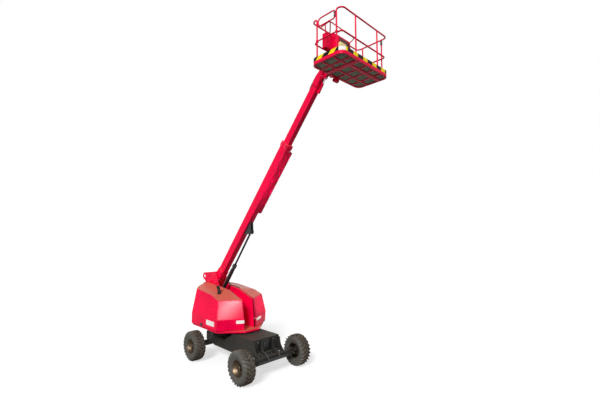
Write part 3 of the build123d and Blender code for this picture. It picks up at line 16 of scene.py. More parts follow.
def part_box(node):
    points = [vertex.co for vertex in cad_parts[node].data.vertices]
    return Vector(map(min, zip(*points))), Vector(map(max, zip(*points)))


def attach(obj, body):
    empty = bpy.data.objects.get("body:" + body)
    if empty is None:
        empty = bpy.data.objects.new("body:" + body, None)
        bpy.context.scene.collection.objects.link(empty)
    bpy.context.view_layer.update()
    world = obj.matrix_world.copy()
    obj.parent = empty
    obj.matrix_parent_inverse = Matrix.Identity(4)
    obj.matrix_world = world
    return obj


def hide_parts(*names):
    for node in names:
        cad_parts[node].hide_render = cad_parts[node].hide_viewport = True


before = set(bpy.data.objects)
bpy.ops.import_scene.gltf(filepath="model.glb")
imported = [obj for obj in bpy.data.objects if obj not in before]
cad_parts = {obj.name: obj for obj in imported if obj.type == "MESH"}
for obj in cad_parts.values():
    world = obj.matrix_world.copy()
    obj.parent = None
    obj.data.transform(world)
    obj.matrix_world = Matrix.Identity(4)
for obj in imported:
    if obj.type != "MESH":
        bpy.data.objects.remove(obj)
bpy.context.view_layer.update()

MM = 0.001
LOG = logging.getLogger("boom_lift")
UP = Vector((0.0, 0.0, 1.0))
DOWN = Vector((0.0, 0.0, -1.0))
AHEAD = Vector((1.0, 0.0, 0.0))
# A distance from the machine's middle that lies outside what is looked at from there
CLEAR = 7.0
# The least cosine at which a face counts as looking one way, or an edge as running that way
SQUARE = 0.95
SHARP_ANGLE = math.radians(35)
SMOOTH_ANGLE = math.radians(40)
WELD_REACH = 0.01 * MM
CUT_REACH = 0.001 * MM
TUBE_ROUND, TUBE_ORDER, TUBE_STEPS = 3, 3, 8
# Sides of round pieces, from a bolt's head to a wide ring
HEX_SIDES, STEM_SIDES, POST_SIDES, RING_SIDES = 6, 10, 24, 32
CORNER_STEPS = 3

Spot = tuple[float, float, float]
Span = tuple[float, float]
Socket = bpy.types.NodeSocket
Test = Callable[[Vector, Vector], bool]


class Pick(Enum):
    """The kind of mesh element that a step works on."""

    VERTEX = (True, False, False)
    EDGE = (False, True, False)
    FACE = (False, False, True)


class Side(Enum):
    """A side of the machine, as the sign of its Y."""

    RIGHT = -1
    LEFT = 1

    @property
    def label(self) -> str:
        """The side's name in the names of pieces."""
        return self.name.lower()


def everywhere(_centre: Vector, _normal: Vector) -> bool:
    """The test that picks every element."""
    return True


def facing(direction: Sequence[float]) -> Test:
    """Make a test for the faces that look one way.

    Args:
        direction: The way to look, of unit length.

    Returns:
        A test of a face's centre and normal.
    """
    way = Vector(direction)
    return lambda _centre, normal: normal.dot(way) > SQUARE


def middle(out: Vector, centre: Vector, reach: float) -> Test:
    """Make a test for the faces that look one way near a centre.

    Args:
        out: The way to look, of unit length.
        centre: The point that they lie round.
        reach: How far off their own centres may be.

    Returns:
        A test of a face's centre and normal.
    """
    return lambda spot, normal: normal.dot(out) > SQUARE and (spot - centre).length < reach


def along(direction: Vector) -> Test:
    """Make a test for the edges that run along a direction.

    Args:
        direction: The direction, of unit length.

    Returns:
        A test of an edge's middle and run.
    """
    return lambda _centre, run: abs(run.dot(direction)) > SQUARE


def turned(heading: Sequence[float]) -> Matrix:
    """The turn that brings +Z to a heading."""
    return Vector(heading).to_track_quat("Z", "Y").to_matrix().to_4x4()


def raised(height: float) -> Matrix:
    """The move by a height along +Z."""
    return Matrix.Translation((0.0, 0.0, height))


@dataclass
class Piece:
    """A mesh on the bench, shaped one step at a time. Each step returns the piece."""

    shape: bpy.types.Object

    @classmethod
    def _added(cls, name: str, place: Matrix) -> "Piece":
        """Take the primitive just added, name it and put its place into its mesh.

        Args:
            name: The piece's name.
            place: Where it goes, and how it is turned and scaled.

        Returns:
            The new piece.
        """
        shape = bpy.context.active_object
        shape.name = name
        shape.data.name = name
        shape.data.transform(place)
        return cls(shape)

    @classmethod
    def block(cls, name: str, size: Sequence[float], place: Matrix) -> "Piece":
        """Start from a block.

        Args:
            name: The piece's name.
            size: Its size along its own X, Y and Z.
            place: Where its middle goes, and how it is turned.

        Returns:
            The new piece.
        """
        bpy.ops.object.select_all(action="DESELECT")
        bpy.ops.mesh.primitive_cube_add(size=1.0)
        return cls._added(name, place @ Matrix.Diagonal((*size, 1.0)))

    @classmethod
    def drum(cls, name: str, radius: float, length: float, place: Matrix, sides: int) -> "Piece":
        """Start from a drum that stands along its own Z.

        Args:
            name: The piece's name.
            radius: Its radius.
            length: Its length.
            place: Where its middle goes, and how it is turned.
            sides: How many sides it has.

        Returns:
            The new piece.
        """
        bpy.ops.object.select_all(action="DESELECT")
        bpy.ops.mesh.primitive_cylinder_add(vertices=sides, radius=radius, depth=length)
        return cls._added(name, place)

    @classmethod
    def sheet(cls, name: str, width: float, height: float, place: Matrix) -> "Piece":
        """Start from a flat rectangle in its own XY plane.

        Args:
            name: The piece's name.
            width: Its size along X.
            height: Its size along Y.
            place: Where its middle goes, and how it is turned.

        Returns:
            The new piece.
        """
        bpy.ops.object.select_all(action="DESELECT")
        bpy.ops.mesh.primitive_plane_add(size=1.0)
        return cls._added(name, place @ Matrix.Diagonal((width, height, 1.0, 1.0)))

    @classmethod
    def grid(cls, name: str, cells: int, pitch: float, place: Matrix) -> "Piece":
        """Start from a flat square of cells in its own XY plane.

        Args:
            name: The piece's name.
            cells: How many cells it has along each side.
            pitch: The size of a cell.
            place: Where its middle goes, and how it is turned.

        Returns:
            The new piece.
        """
        bpy.ops.object.select_all(action="DESELECT")
        bpy.ops.mesh.primitive_grid_add(x_subdivisions=cells, y_subdivisions=cells, size=cells * pitch)
        return cls._added(name, place)

    @classmethod
    def tube(cls, name: str, route: Sequence[Sequence[float]], radius: float) -> "Piece":
        """Start from a closed round tube along a smooth line.

        Args:
            name: The piece's name.
            route: The line's control points.
            radius: The tube's radius.

        Returns:
            The new piece.
        """
        data = bpy.data.curves.new(name, "CURVE")
        data.dimensions = "3D"
        data.bevel_depth = radius
        data.bevel_resolution = TUBE_ROUND
        data.use_fill_caps = True
        line = data.splines.new("NURBS")
        line.points.add(len(route) - 1)
        for point, spot in zip(line.points, route):
            point.co = (*spot, 1.0)
        line.order_u = TUBE_ORDER
        line.use_endpoint_u = True
        line.resolution_u = TUBE_STEPS
        shape = bpy.data.objects.new(name, data)
        bpy.context.scene.collection.objects.link(shape)
        cls(shape)._take()
        bpy.ops.object.convert(target="MESH")
        return cls(bpy.context.active_object)._weld()

    def _take(self) -> None:
        """Select this piece alone and make it the active one."""
        bpy.ops.object.select_all(action="DESELECT")
        self.shape.select_set(True)
        bpy.context.view_layer.objects.active = self.shape

    def _weld(self) -> "Piece":
        """Join corners that lie on each other and turn all faces outward.

        Returns:
            This piece.
        """
        self._open(Pick.FACE, everywhere)
        bpy.ops.mesh.remove_doubles(threshold=WELD_REACH)
        bpy.ops.mesh.normals_make_consistent(inside=False)
        return self._close()

    def _open(self, pick: Pick, test: Test) -> None:
        """Enter edit mode with the elements that pass a test selected.

        Args:
            pick: The kind of element.
            test: The test of an element's middle and direction.
        """
        self._take()
        mesh = self.shape.data
        for elements in (mesh.vertices, mesh.edges, mesh.polygons):
            elements.foreach_set("select", [False] * len(elements))
        if pick is Pick.FACE:
            for face in mesh.polygons:
                face.select = test(face.center, face.normal)
        elif pick is Pick.EDGE:
            for edge in mesh.edges:
                start, end = (mesh.vertices[index].co for index in edge.vertices)
                edge.select = test((start + end) / 2, (end - start).normalized())
        else:
            for vertex in mesh.vertices:
                vertex.select = test(vertex.co, vertex.normal)
        bpy.context.tool_settings.mesh_select_mode = pick.value
        bpy.ops.object.mode_set(mode="EDIT")

    def _close(self) -> "Piece":
        """Leave edit mode."""
        bpy.ops.object.mode_set(mode="OBJECT")
        return self

    def bevel(self, width: float, segments: int, pick: Pick, test: Test) -> "Piece":
        """Round edges or corners.

        Args:
            width: How far the rounding reaches.
            segments: How many steps it has.
            pick: Whether edges or corners are rounded.
            test: Picks them.

        Returns:
            This piece.
        """
        self._open(pick, test)
        affect = "VERTICES" if pick is Pick.VERTEX else "EDGES"
        bpy.ops.mesh.bevel(offset=width, segments=segments, affect=affect, clamp_overlap=True)
        return self._close()

    def inset(self, test: Test, margin: float, rise: float = 0.0) -> "Piece":
        """Inset faces, and raise or sink them.

        Args:
            test: Picks the faces.
            margin: How far their edges move in.
            rise: How far they move out.

        Returns:
            This piece.
        """
        self._open(Pick.FACE, test)
        bpy.ops.mesh.inset(thickness=margin, depth=rise)
        return self._close()

    def extrude(self, test: Test, move: Sequence[float], scale: float = 1.0) -> "Piece":
        """Extrude faces and scale the new end.

        Args:
            test: Picks the faces.
            move: How far the new end moves.
            scale: Its size as a share of the old one's.

        Returns:
            This piece.
        """
        self._open(Pick.FACE, test)
        bpy.ops.mesh.extrude_region_move(TRANSFORM_OT_translate={"value": tuple(move)})
        if scale != 1.0:
            bpy.ops.transform.resize(value=(scale, scale, scale))
        return self._close()

    def swing(self, test: Test, move: Sequence[float], angle: float) -> "Piece":
        """Extrude faces, move the new end and turn it about the Y axis.

        Args:
            test: Picks the faces.
            move: How far the new end moves first.
            angle: How far it then turns, in radians.

        Returns:
            This piece.
        """
        self._open(Pick.FACE, test)
        bpy.ops.mesh.extrude_region_move(TRANSFORM_OT_translate={"value": tuple(move)})
        bpy.ops.transform.rotate(value=angle, orient_axis="Y", center_override=(0.0, 0.0, 0.0))
        return self._close()

    def squeeze(self, test: Test, share: float) -> "Piece":
        """Scale corners along Y about the origin.

        Args:
            test: Picks the corners.
            share: Their new distance as a share of the old one.

        Returns:
            This piece.
        """
        self._open(Pick.VERTEX, test)
        bpy.ops.transform.resize(value=(1.0, share, 1.0), center_override=(0.0, 0.0, 0.0))
        return self._close()

    def spin(self, steps: int) -> "Piece":
        """Sweep the outline of a flat piece right round the Y axis.

        Args:
            steps: How many steps a turn has.

        Returns:
            This piece.
        """
        self._open(Pick.FACE, everywhere)
        bpy.ops.mesh.delete(type="ONLY_FACE")
        bpy.ops.mesh.select_all(action="SELECT")
        bpy.ops.mesh.spin(steps=steps, angle=math.tau, center=(0.0, 0.0, 0.0), axis=(0.0, 1.0, 0.0))
        return self._close()._weld()

    def trim(self, point: Vector, normal: Vector) -> "Piece":
        """Cut off the part of a flat piece that lies beyond a plane.

        Args:
            point: A point on the plane.
            normal: The way to the part that goes.

        Returns:
            This piece.
        """
        self._open(Pick.FACE, everywhere)
        bpy.ops.mesh.bisect(
            plane_co=tuple(point), plane_no=tuple(normal), use_fill=False, clear_outer=True,
            threshold=CUT_REACH,
        )
        return self._close()

    def lattice(self, strand: float) -> "Piece":
        """Leave only strands between the cells of a flat piece.

        Args:
            strand: Their width.

        Returns:
            This piece.
        """
        self._open(Pick.FACE, everywhere)
        bpy.ops.mesh.inset(thickness=strand / 2, use_individual=True)
        bpy.ops.mesh.delete(type="FACE")
        return self._close()

    def thicken(self, thickness: float) -> "Piece":
        """Thicken a flat piece upward with an applied modifier.

        Args:
            thickness: How thick it gets.

        Returns:
            This piece.
        """
        modifier = self.shape.modifiers.new("thickness", "SOLIDIFY")
        modifier.thickness = thickness
        modifier.offset = 1.0
        return self._apply(modifier)

    def soften(self, width: float, segments: int = 2) -> "Piece":
        """Round every sharp edge with an applied bevel.

        Args:
            width: How far the rounding reaches.
            segments: How many steps it has.

        Returns:
            This piece.
        """
        modifier = self.shape.modifiers.new("soft_edges", "BEVEL")
        modifier.width = width
        modifier.segments = segments
        modifier.limit_method = "ANGLE"
        modifier.angle_limit = SHARP_ANGLE
        return self._apply(modifier)

    def _apply(self, modifier: bpy.types.Modifier) -> "Piece":
        """Apply a modifier to the mesh.

        Args:
            modifier: The modifier.

        Returns:
            This piece.
        """
        self._take()
        bpy.ops.object.modifier_apply(modifier=modifier.name)
        return self

    def twin(self, place: Matrix) -> "Piece":
        """Copy the piece, with its own mesh, to another place.

        Args:
            place: The move from here to there.

        Returns:
            The copy.
        """
        copy = self.shape.copy()
        copy.data = self.shape.data.copy()
        bpy.context.scene.collection.objects.link(copy)
        copy.data.transform(place)
        if place.determinant() < 0:
            copy.data.flip_normals()
        return Piece(copy)

    def join(self, others: Iterable["Piece"]) -> "Piece":
        """Join other pieces into this one's mesh.

        Args:
            others: The other pieces.

        Returns:
            This piece.
        """
        self._take()
        for other in others:
            other.shape.select_set(True)
        bpy.ops.object.join()
        return self

    def array(self, places: Sequence[Matrix]) -> "Piece":
        """Stand copies at each place instead of this one, joined into one piece.

        Args:
            places: The places.

        Returns:
            The joined piece.
        """
        copies = [self.twin(place) for place in places]
        name = self.shape.name
        bpy.data.objects.remove(self.shape)
        copies[0].join(copies[1:])
        copies[0].shape.name = name
        copies[0].shape.data.name = name
        return copies[0]

    def dress(self, finish: "Finish", body: str, slot: str, replaces: Sequence[str] = ()) -> "Piece":
        """Shade the finished piece smooth, and give it its material and its body.

        Args:
            finish: The finish of its surface.
            body: The body that it moves with.
            slot: The record's material slot that its finish belongs to; not used.
            replaces: The plain solids that it stands for.

        Returns:
            This piece.
        """
        self._take()
        bpy.ops.object.shade_smooth_by_angle(angle=SMOOTH_ANGLE)
        if not self.shape.data.materials:
            self.shape.data.materials.append(finish.material())
        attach(self.shape, body)
        if replaces:
            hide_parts(*replaces)
        LOG.info("%s: %d faces on %s", self.shape.name, len(self.shape.data.polygons), body)
        return self


def linear(colour: str) -> tuple[float, float, float, float]:
    """Turn an sRGB hex colour to linear light.

    Args:
        colour: The colour as #RRGGBB.

    Returns:
        Red, green, blue and alpha in linear light.
    """
    channels = [int(colour[start:start + 2], 16) / 255 for start in (1, 3, 5)]
    low = [value / 12.92 if value <= 0.04045 else ((value + 0.055) / 1.055) ** 2.4 for value in channels]
    return (*low, 1.0)


def add_node(
    tree: bpy.types.NodeTree, kind: str, values: dict[object, object], links: dict[object, Socket]
) -> bpy.types.Node:
    """Add a node with its settings and links.

    Args:
        tree: The material's or the world's node tree.
        kind: The node's type.
        values: Settings of the node, and values of its sockets, by name or number.
        links: What feeds its sockets, by name or number.

    Returns:
        The new node.
    """
    node = tree.nodes.new(kind)
    settings = {name for name in values if isinstance(name, str) and hasattr(node, name)}
    for name in values:
        if name in settings:
            setattr(node, name, values[name])
    for name in values:
        if name not in settings:
            node.inputs[name].default_value = values[name]
    for name, source in links.items():
        tree.links.new(source, node.inputs[name])
    return node


# Sockets of the mix node, for colours and for plain values
MIX_A, MIX_B, MIX_OUT = 6, 7, 2
VALUE_A, VALUE_B = 2, 3


@dataclass(frozen=True)
class Bench:
    """A material's node tree in the making.

    Attributes:
        tree: The tree.
        place: The piece's own coordinates.
        way: The surface's direction in those coordinates.
    """

    tree: bpy.types.NodeTree
    place: Socket
    way: Socket

    def noise(self, size_mm: float, detail: float = 2.0, roughness: float = 0.5) -> Socket:
        """Soft noise.

        Args:
            size_mm: The size of its patches in millimetres.
            detail: How many finer layers it has.
            roughness: How strong they are.

        Returns:
            Values round a half.
        """
        values = {"Scale": 1 / (size_mm * MM), "Detail": detail, "Roughness": roughness}
        return add_node(self.tree, "ShaderNodeTexNoise", values, {"Vector": self.place}).outputs["Fac"]

    def span(self, value: Socket, source: Span, target: Span = (0.0, 1.0)) -> Socket:
        """Map a value from one range to another, and hold it there.

        Args:
            value: The value.
            source: The range that it comes from.
            target: The range that it goes to.

        Returns:
            The mapped value.
        """
        values = {"From Min": source[0], "From Max": source[1], "To Min": target[0], "To Max": target[1]}
        return add_node(self.tree, "ShaderNodeMapRange", values, {"Value": value}).outputs[0]

    def blend(self, share: Socket, first: str | Socket, second: str) -> Socket:
        """Blend two colours.

        Args:
            share: The second one's share.
            first: A colour, as #RRGGBB or from another node.
            second: A colour as #RRGGBB.

        Returns:
            The blended colour.
        """
        values = {"data_type": "RGBA", MIX_B: linear(second)}
        links = {0: share}
        if isinstance(first, str):
            values[MIX_A] = linear(first)
        else:
            links[MIX_A] = first
        return add_node(self.tree, "ShaderNodeMix", values, links).outputs[MIX_OUT]

    def calc(self, operation: str, *terms: float | Socket) -> Socket:
        """Work out a value.

        Args:
            operation: The name of the math node's operation.
            terms: What goes into it, in order.

        Returns:
            The result.
        """
        values = {"operation": operation}
        links = {}
        for index, term in enumerate(terms):
            if isinstance(term, Socket):
                links[index] = term
            else:
                values[index] = term
        return add_node(self.tree, "ShaderNodeMath", values, links).outputs[0]

    def split(self, vector: Socket) -> bpy.types.NodeOutputs:
        """Split a vector into its X, Y and Z."""
        return add_node(self.tree, "ShaderNodeSeparateXYZ", {}, {0: vector}).outputs

    def bump(self, height: Socket, strength: float, depth_mm: float, **links: Socket) -> Socket:
        """Raise the surface by a pattern.

        Args:
            height: The pattern.
            strength: How much of it shows.
            depth_mm: How high it stands in millimetres.
            links: What else feeds the node, by name.

        Returns:
            The new direction of the surface.
        """
        values = {"Strength": strength, "Distance": depth_mm * MM}
        return add_node(self.tree, "ShaderNodeBump", values, {"Height": height, **links}).outputs[0]

    def surface(
        self, values: dict[str, float], colour: Socket, roughness: Socket, **links: Socket
    ) -> bpy.types.Node:
        """Close the tree with its shader.

        Args:
            values: What is the same all over.
            colour: The base colour.
            roughness: The roughness.
            links: What else feeds the shader, by name.

        Returns:
            The shader.
        """
        links = {"Base Color": colour, "Roughness": roughness, **links}
        return add_node(self.tree, "ShaderNodeBsdfPrincipled", values, links)


@dataclass(frozen=True)
class Finish:
    """A surface finish that is built once and shared."""

    name: str

    def material(self) -> bpy.types.Material:
        """The finish's material, built when it is first asked for.

        Returns:
            The material.
        """
        found = bpy.data.materials.get(self.name)
        if found is not None:
            return found
        made = bpy.data.materials.new(self.name)
        made.use_nodes = True
        tree = made.node_tree
        tree.nodes.clear()
        place = add_node(tree, "ShaderNodeTexCoord", {}, {}).outputs
        shader = self.shade(Bench(tree, place["Object"], place["Normal"]))
        add_node(tree, "ShaderNodeOutputMaterial", {}, {"Surface": shader.outputs[0]})
        return made

    def shade(self, bench: Bench) -> bpy.types.Node:
        """Build the shader on a bench."""
        raise NotImplementedError


@dataclass(frozen=True)
class SprayedEnamel(Finish):
    """Sprayed gloss enamel on steel: even, with soft clouds, faded and dusty where it faces the sky, with a
    painted sky reflection there as well.
    """

    colour: str
    deep: str
    fade_and_sky_reflection: str
    fade_and_reflection_share: float
    roughness: float
    specular: float
    edge: str
    edge_share: float
    cloud_mm: float = 620.0
    cloud_detail: float = 4.0
    cloud_span: Span = (0.35, 0.65)
    dust_mm: float = 22.0
    dust_detail: float = 6.0
    dust_span: Span = (0.3, 0.7)
    dust_least: float = 0.75
    dust_dulling: float = 0.14
    sky_span: Span = (0.45, 0.97)
    edge_mm: float = 7.0
    edge_span: Span = (0.97, 0.80)
    edge_samples: int = 4
    peel_mm: float = 5.0
    peel_strength: float = 0.05
    peel_depth_mm: float = 0.4
    ior: float = 1.5

    def shade(self, bench: Bench) -> bpy.types.Node:
        """Clouded colour, a faded dusty top that also carries a painted sky reflection, lighter edges that
        are partly worn paint and partly a painted highlight, and a fine orange peel.

        Args:
            bench: The material's bench.

        Returns:
            The shader.
        """
        clouds = bench.span(bench.noise(self.cloud_mm, self.cloud_detail), self.cloud_span)
        body = bench.blend(clouds, self.colour, self.deep)
        dust = bench.noise(self.dust_mm, self.dust_detail)
        # Faces toward the sky get the paler colour, which is real fading and dust and also a painted sky
        # reflection.
        upward = bench.span(bench.split(bench.way)["Z"], self.sky_span, (0.0, self.fade_and_reflection_share))
        patchy = bench.span(dust, self.dust_span, (self.dust_least, 1.0))
        topped = bench.blend(bench.calc("MULTIPLY", upward, patchy), body, self.fade_and_sky_reflection)
        # Edges get the lighter edge colour, partly worn paint and partly a painted highlight.
        values = {"samples": self.edge_samples, "Radius": self.edge_mm * MM}
        rounded = add_node(bench.tree, "ShaderNodeBevel", values, {}).outputs[0]
        flat = add_node(bench.tree, "ShaderNodeNewGeometry", {}, {}).outputs["Normal"]
        values, links = {"operation": "DOT_PRODUCT"}, {0: rounded, 1: flat}
        agree = add_node(bench.tree, "ShaderNodeVectorMath", values, links)
        wear_and_highlight = bench.span(agree.outputs["Value"], self.edge_span, (0.0, self.edge_share))
        colour = bench.blend(wear_and_highlight, topped, self.edge)
        rough = bench.span(dust, self.dust_span, (self.roughness, self.roughness + self.dust_dulling))
        bump = bench.bump(bench.noise(self.peel_mm), self.peel_strength, self.peel_depth_mm, Normal=rounded)
        values = {"IOR": self.ior, "Specular IOR Level": self.specular}
        return bench.surface(values, colour, rough, Normal=bump)


@dataclass(frozen=True)
class DustyRubber(Finish):
    """Vulcanised rubber with dry soil on it: matt, brown where the dust holds, black in the hollows."""

    colour: str
    soil: str
    soil_share: float
    soil_mm: float = 70.0
    soil_detail: float = 8.0
    soil_span: Span = (0.35, 0.7)
    soil_break: float = 0.65
    grain_mm: float = 9.0
    grain_detail: float = 5.0
    grain_strength: float = 0.4
    grain_depth_mm: float = 2.0
    roughness: Span = (0.6, 0.95)
    ior: float = 1.2
    specular: float = 0.05

    def shade(self, bench: Bench) -> bpy.types.Node:
        """Patches of soil over black rubber, with a rough skin.

        Args:
            bench: The material's bench.

        Returns:
            The shader.
        """
        patches = bench.noise(self.soil_mm, self.soil_detail, self.soil_break)
        soiled = bench.span(patches, self.soil_span, (0.0, self.soil_share))
        colour = bench.blend(soiled, self.colour, self.soil)
        grain = bench.noise(self.grain_mm, self.grain_detail)
        rough = bench.span(grain, (0.0, 1.0), self.roughness)
        bump = bench.bump(grain, self.grain_strength, self.grain_depth_mm)
        values = {"IOR": self.ior, "Specular IOR Level": self.specular}
        return bench.surface(values, colour, rough, Normal=bump)


@dataclass(frozen=True)
class BareSteel(Finish):
    """Bare or plated steel: drawn or turned, with faint streaks along its run."""

    colour: str
    stain: str
    roughness: float
    dulling: float = 0.2
    streak_mm: float = 14.0
    streak_detail: float = 6.0

    def shade(self, bench: Bench) -> bpy.types.Node:
        """Metal with stained streaks and uneven gloss.

        Args:
            bench: The material's bench.

        Returns:
            The shader.
        """
        streaks = bench.noise(self.streak_mm, self.streak_detail)
        colour = bench.blend(streaks, self.colour, self.stain)
        rough = bench.span(streaks, (0.0, 1.0), (self.roughness, self.roughness + self.dulling))
        return bench.surface({"Metallic": 1.0}, colour, rough)


@dataclass(frozen=True)
class MouldedPlastic(Finish):
    """Injection-moulded plastic: a fine spark-eroded grain, greyed a little by the weather."""

    colour: str
    bloom: str
    roughness: float
    dulling: float = 0.15
    bloom_mm: float = 120.0
    bloom_detail: float = 5.0
    grain_mm: float = 3.0
    grain_strength: float = 0.2
    grain_depth_mm: float = 0.5
    ior: float = 1.49

    def shade(self, bench: Bench) -> bpy.types.Node:
        """A grained skin with pale bloom in patches.

        Args:
            bench: The material's bench.

        Returns:
            The shader.
        """
        patches = bench.noise(self.bloom_mm, self.bloom_detail)
        colour = bench.blend(patches, self.colour, self.bloom)
        rough = bench.span(patches, (0.0, 1.0), (self.roughness, self.roughness + self.dulling))
        bump = bench.bump(bench.noise(self.grain_mm), self.grain_strength, self.grain_depth_mm)
        return bench.surface({"IOR": self.ior}, colour, rough, Normal=bump)


@dataclass(frozen=True)
class HazardTape(Finish):
    """Printed vinyl tape: yellow and black blocks, upright on long sides and slanted on short ones."""

    yellow: str
    black: str
    patch: str
    corner: tuple[float, float]
    patch_reach: float
    period_mm: float = 385.0
    black_share: float = 0.55
    long_phase: float = 0.01
    short_phase: float = 0.60
    scuff_mm: float = 33.3
    scuff_detail: float = 6.0
    roughness: Span = (0.5, 0.7)
    ior: float = 1.5
    specular: float = 0.15

    def shade(self, bench: Bench) -> bpy.types.Node:
        """Stripes measured along each side, with a blank white patch round one corner.

        Args:
            bench: The material's bench.

        Returns:
            The shader.
        """
        way, spot = bench.split(bench.way), bench.split(bench.place)
        is_long = bench.calc(
            "GREATER_THAN", bench.calc("ABSOLUTE", way["X"]), bench.calc("ABSOLUTE", way["Y"])
        )
        slant = bench.calc("SUBTRACT", spot["X"], spot["Z"])
        repeats = 1 / (self.period_mm * MM)
        short_run = bench.calc("MULTIPLY_ADD", slant, repeats, self.short_phase)
        long_run = bench.calc("MULTIPLY_ADD", spot["Y"], repeats, self.long_phase)
        links = {0: is_long, VALUE_A: short_run, VALUE_B: long_run}
        run = add_node(bench.tree, "ShaderNodeMix", {"data_type": "FLOAT"}, links).outputs[0]
        is_black = bench.calc("LESS_THAN", bench.calc("FRACT", run), self.black_share)
        striped = bench.blend(is_black, self.yellow, self.black)
        values = {"operation": "MULTIPLY_ADD", 1: (1.0, 1.0, 0.0), 2: (-self.corner[0], -self.corner[1], 0.0)}
        offset = add_node(bench.tree, "ShaderNodeVectorMath", values, {0: bench.place}).outputs[0]
        away = add_node(bench.tree, "ShaderNodeVectorMath", {"operation": "LENGTH"}, {0: offset})
        is_near = bench.calc("LESS_THAN", away.outputs["Value"], self.patch_reach)
        colour = bench.blend(is_near, striped, self.patch)
        scuffs = bench.noise(self.scuff_mm, self.scuff_detail)
        rough = bench.span(scuffs, (0.0, 1.0), self.roughness)
        return bench.surface({"IOR": self.ior, "Specular IOR Level": self.specular}, colour, rough)


# Clear gloss red that glows in the light, under brown dust and a painted pale sky reflection where it faces
# the sky, its pink edges part wear, part painted highlight
RED = SprayedEnamel(
    "red_gloss_enamel", "#F80044", "#E2003D", "#B4684F", fade_and_reflection_share=0.9, roughness=0.35, specular=0.10,
    edge="#FF5C7A", edge_share=0.15,
)
# The same red on the hoods, shinier, with wide soft edges that catch the light and carry a wide band of
# painted pink highlight
HOOD_RED = replace(RED, name="hood_gloss_enamel", roughness=0.18, specular=0.05, edge_mm=45.0)
# Dull brownish black with pale worn edges
CHARCOAL = SprayedEnamel(
    "charcoal_chassis_paint", "#2E2B27", "#262421", "#403C35", fade_and_reflection_share=0.5, roughness=0.5, specular=0.15,
    edge="#5E5A52", edge_share=0.35,
)
# A colder, glossier black than the frame's
BLACK_PANEL = SprayedEnamel(
    "black_panel_paint", "#1A1A1B", "#131314", "#2C2C2C", fade_and_reflection_share=0.4, roughness=0.25, specular=0.4,
    edge="#4A4A4C", edge_share=0.35,
)
# Grey-green strands, flat and a little chalky
GRATING = SprayedEnamel(
    "weathered_zinc_mesh", "#767A68", "#5E6252", "#7C7F70", fade_and_reflection_share=0.3, roughness=0.6, specular=0.2,
    edge="#8C8F80", edge_share=0.2,
)
# Yellow and black blocks with one white blank at the near corner
TAPE_COLOURS = ("#FFE014", "#0C0A08", "#F2ECE6")
# Near black walls with a breath of soil
TYRE = DustyRubber("tyre_rubber", "#0F0D0B", "#2E261F", soil_share=0.5)
# Pale brown tips that pick out the tread
LUG_TIP = DustyRubber("worn_lug_rubber", "#42372D", "#7E6B57", soil_share=0.85)
# Warm brown metal that glints at the hub
BRONZE = BareSteel("bronze_rim_coat", "#5C4E3E", "#3A3026", roughness=0.34)
# A bright mirror line on the short rod
CHROME = BareSteel("hard_chrome", "#C9CACC", "#A9ABB0", roughness=0.08)
# A chrome rod painted dark, a painted reflection of its dark surroundings, with a thin sheen
DARK_REFLECTION_ROD = BareSteel("chrome_painted_dark_reflection", "#2E2E30", "#1A1A1C", roughness=0.22)
# Small grey glints of fasteners
PIN_STEEL = BareSteel("zinc_plated_steel", "#9C9C9E", "#7C7B79", roughness=0.3)
# Dead black with a hint of metal
SOOTY_STEEL = BareSteel("sooty_exhaust_steel", "#2B2826", "#171514", roughness=0.5)
# Plain grey casting under the hood
ALLOY = BareSteel("cast_engine_alloy", "#8B8C8E", "#5F5F61", roughness=0.45)
# Black grips, latches and sleeves
BLACK_PLASTIC = MouldedPlastic("black_nylon", "#141415", "#2A2A2B", roughness=0.4)
# Dull black lines along the boom and at the axle
HOSE_RUBBER = MouldedPlastic("black_hose_rubber", "#17171A", "#29292B", roughness=0.55)
# Warm white places where the real machine has its labels
BLANK_PLATE = MouldedPlastic("white_blank_plate", "#F3EDE9", "#DDD5CF", roughness=0.35)
# One pale spot under the dark console
PALE_BOX = MouldedPlastic("pale_yellow_box_plastic", "#F1E2A0", "#D9C684", roughness=0.4)
# Deep red, darker than the console round it: painted shade where the console's face lies in shadow
PAINTED_SHADE_PLASTIC = MouldedPlastic("panel_plastic_painted_shade", "#6A0F18", "#4C0A11", roughness=0.45)
# A small bright button
STOP_RED = MouldedPlastic("red_button_plastic", "#C4141C", "#A01018", roughness=0.3)


def paint(finish: Finish, *nodes: str) -> None:
    """Give CAD nodes a finish in place of their plain one.

    Args:
        finish: The finish.
        nodes: The nodes' names.
    """
    for name in nodes:
        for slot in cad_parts[name].material_slots:
            slot.material = finish.material()


@dataclass(frozen=True)
class Seat:
    """A spot on a node's surface, found by looking at it from outside.

    Attributes:
        node: The node that carries what sits here.
        start: A point outside the node.
        heading: The way from there to the surface.
    """

    node: str
    start: Sequence[float]
    heading: Sequence[float]

    def place(self, up: Sequence[float] = UP) -> Matrix:
        """Where a piece sits there.

        Args:
            up: The way that the piece's own Y leans.

        Returns:
            A placement with its own Z out of the surface.
        """
        found, spot, normal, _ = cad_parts[self.node].ray_cast(Vector(self.start), Vector(self.heading))
        if not found:
            raise ValueError(f"nothing to sit on at {self.node}")
        across = Vector(up).cross(normal).normalized()
        return Matrix.Translation(spot) @ Matrix((across, normal.cross(across), normal)).transposed().to_4x4()


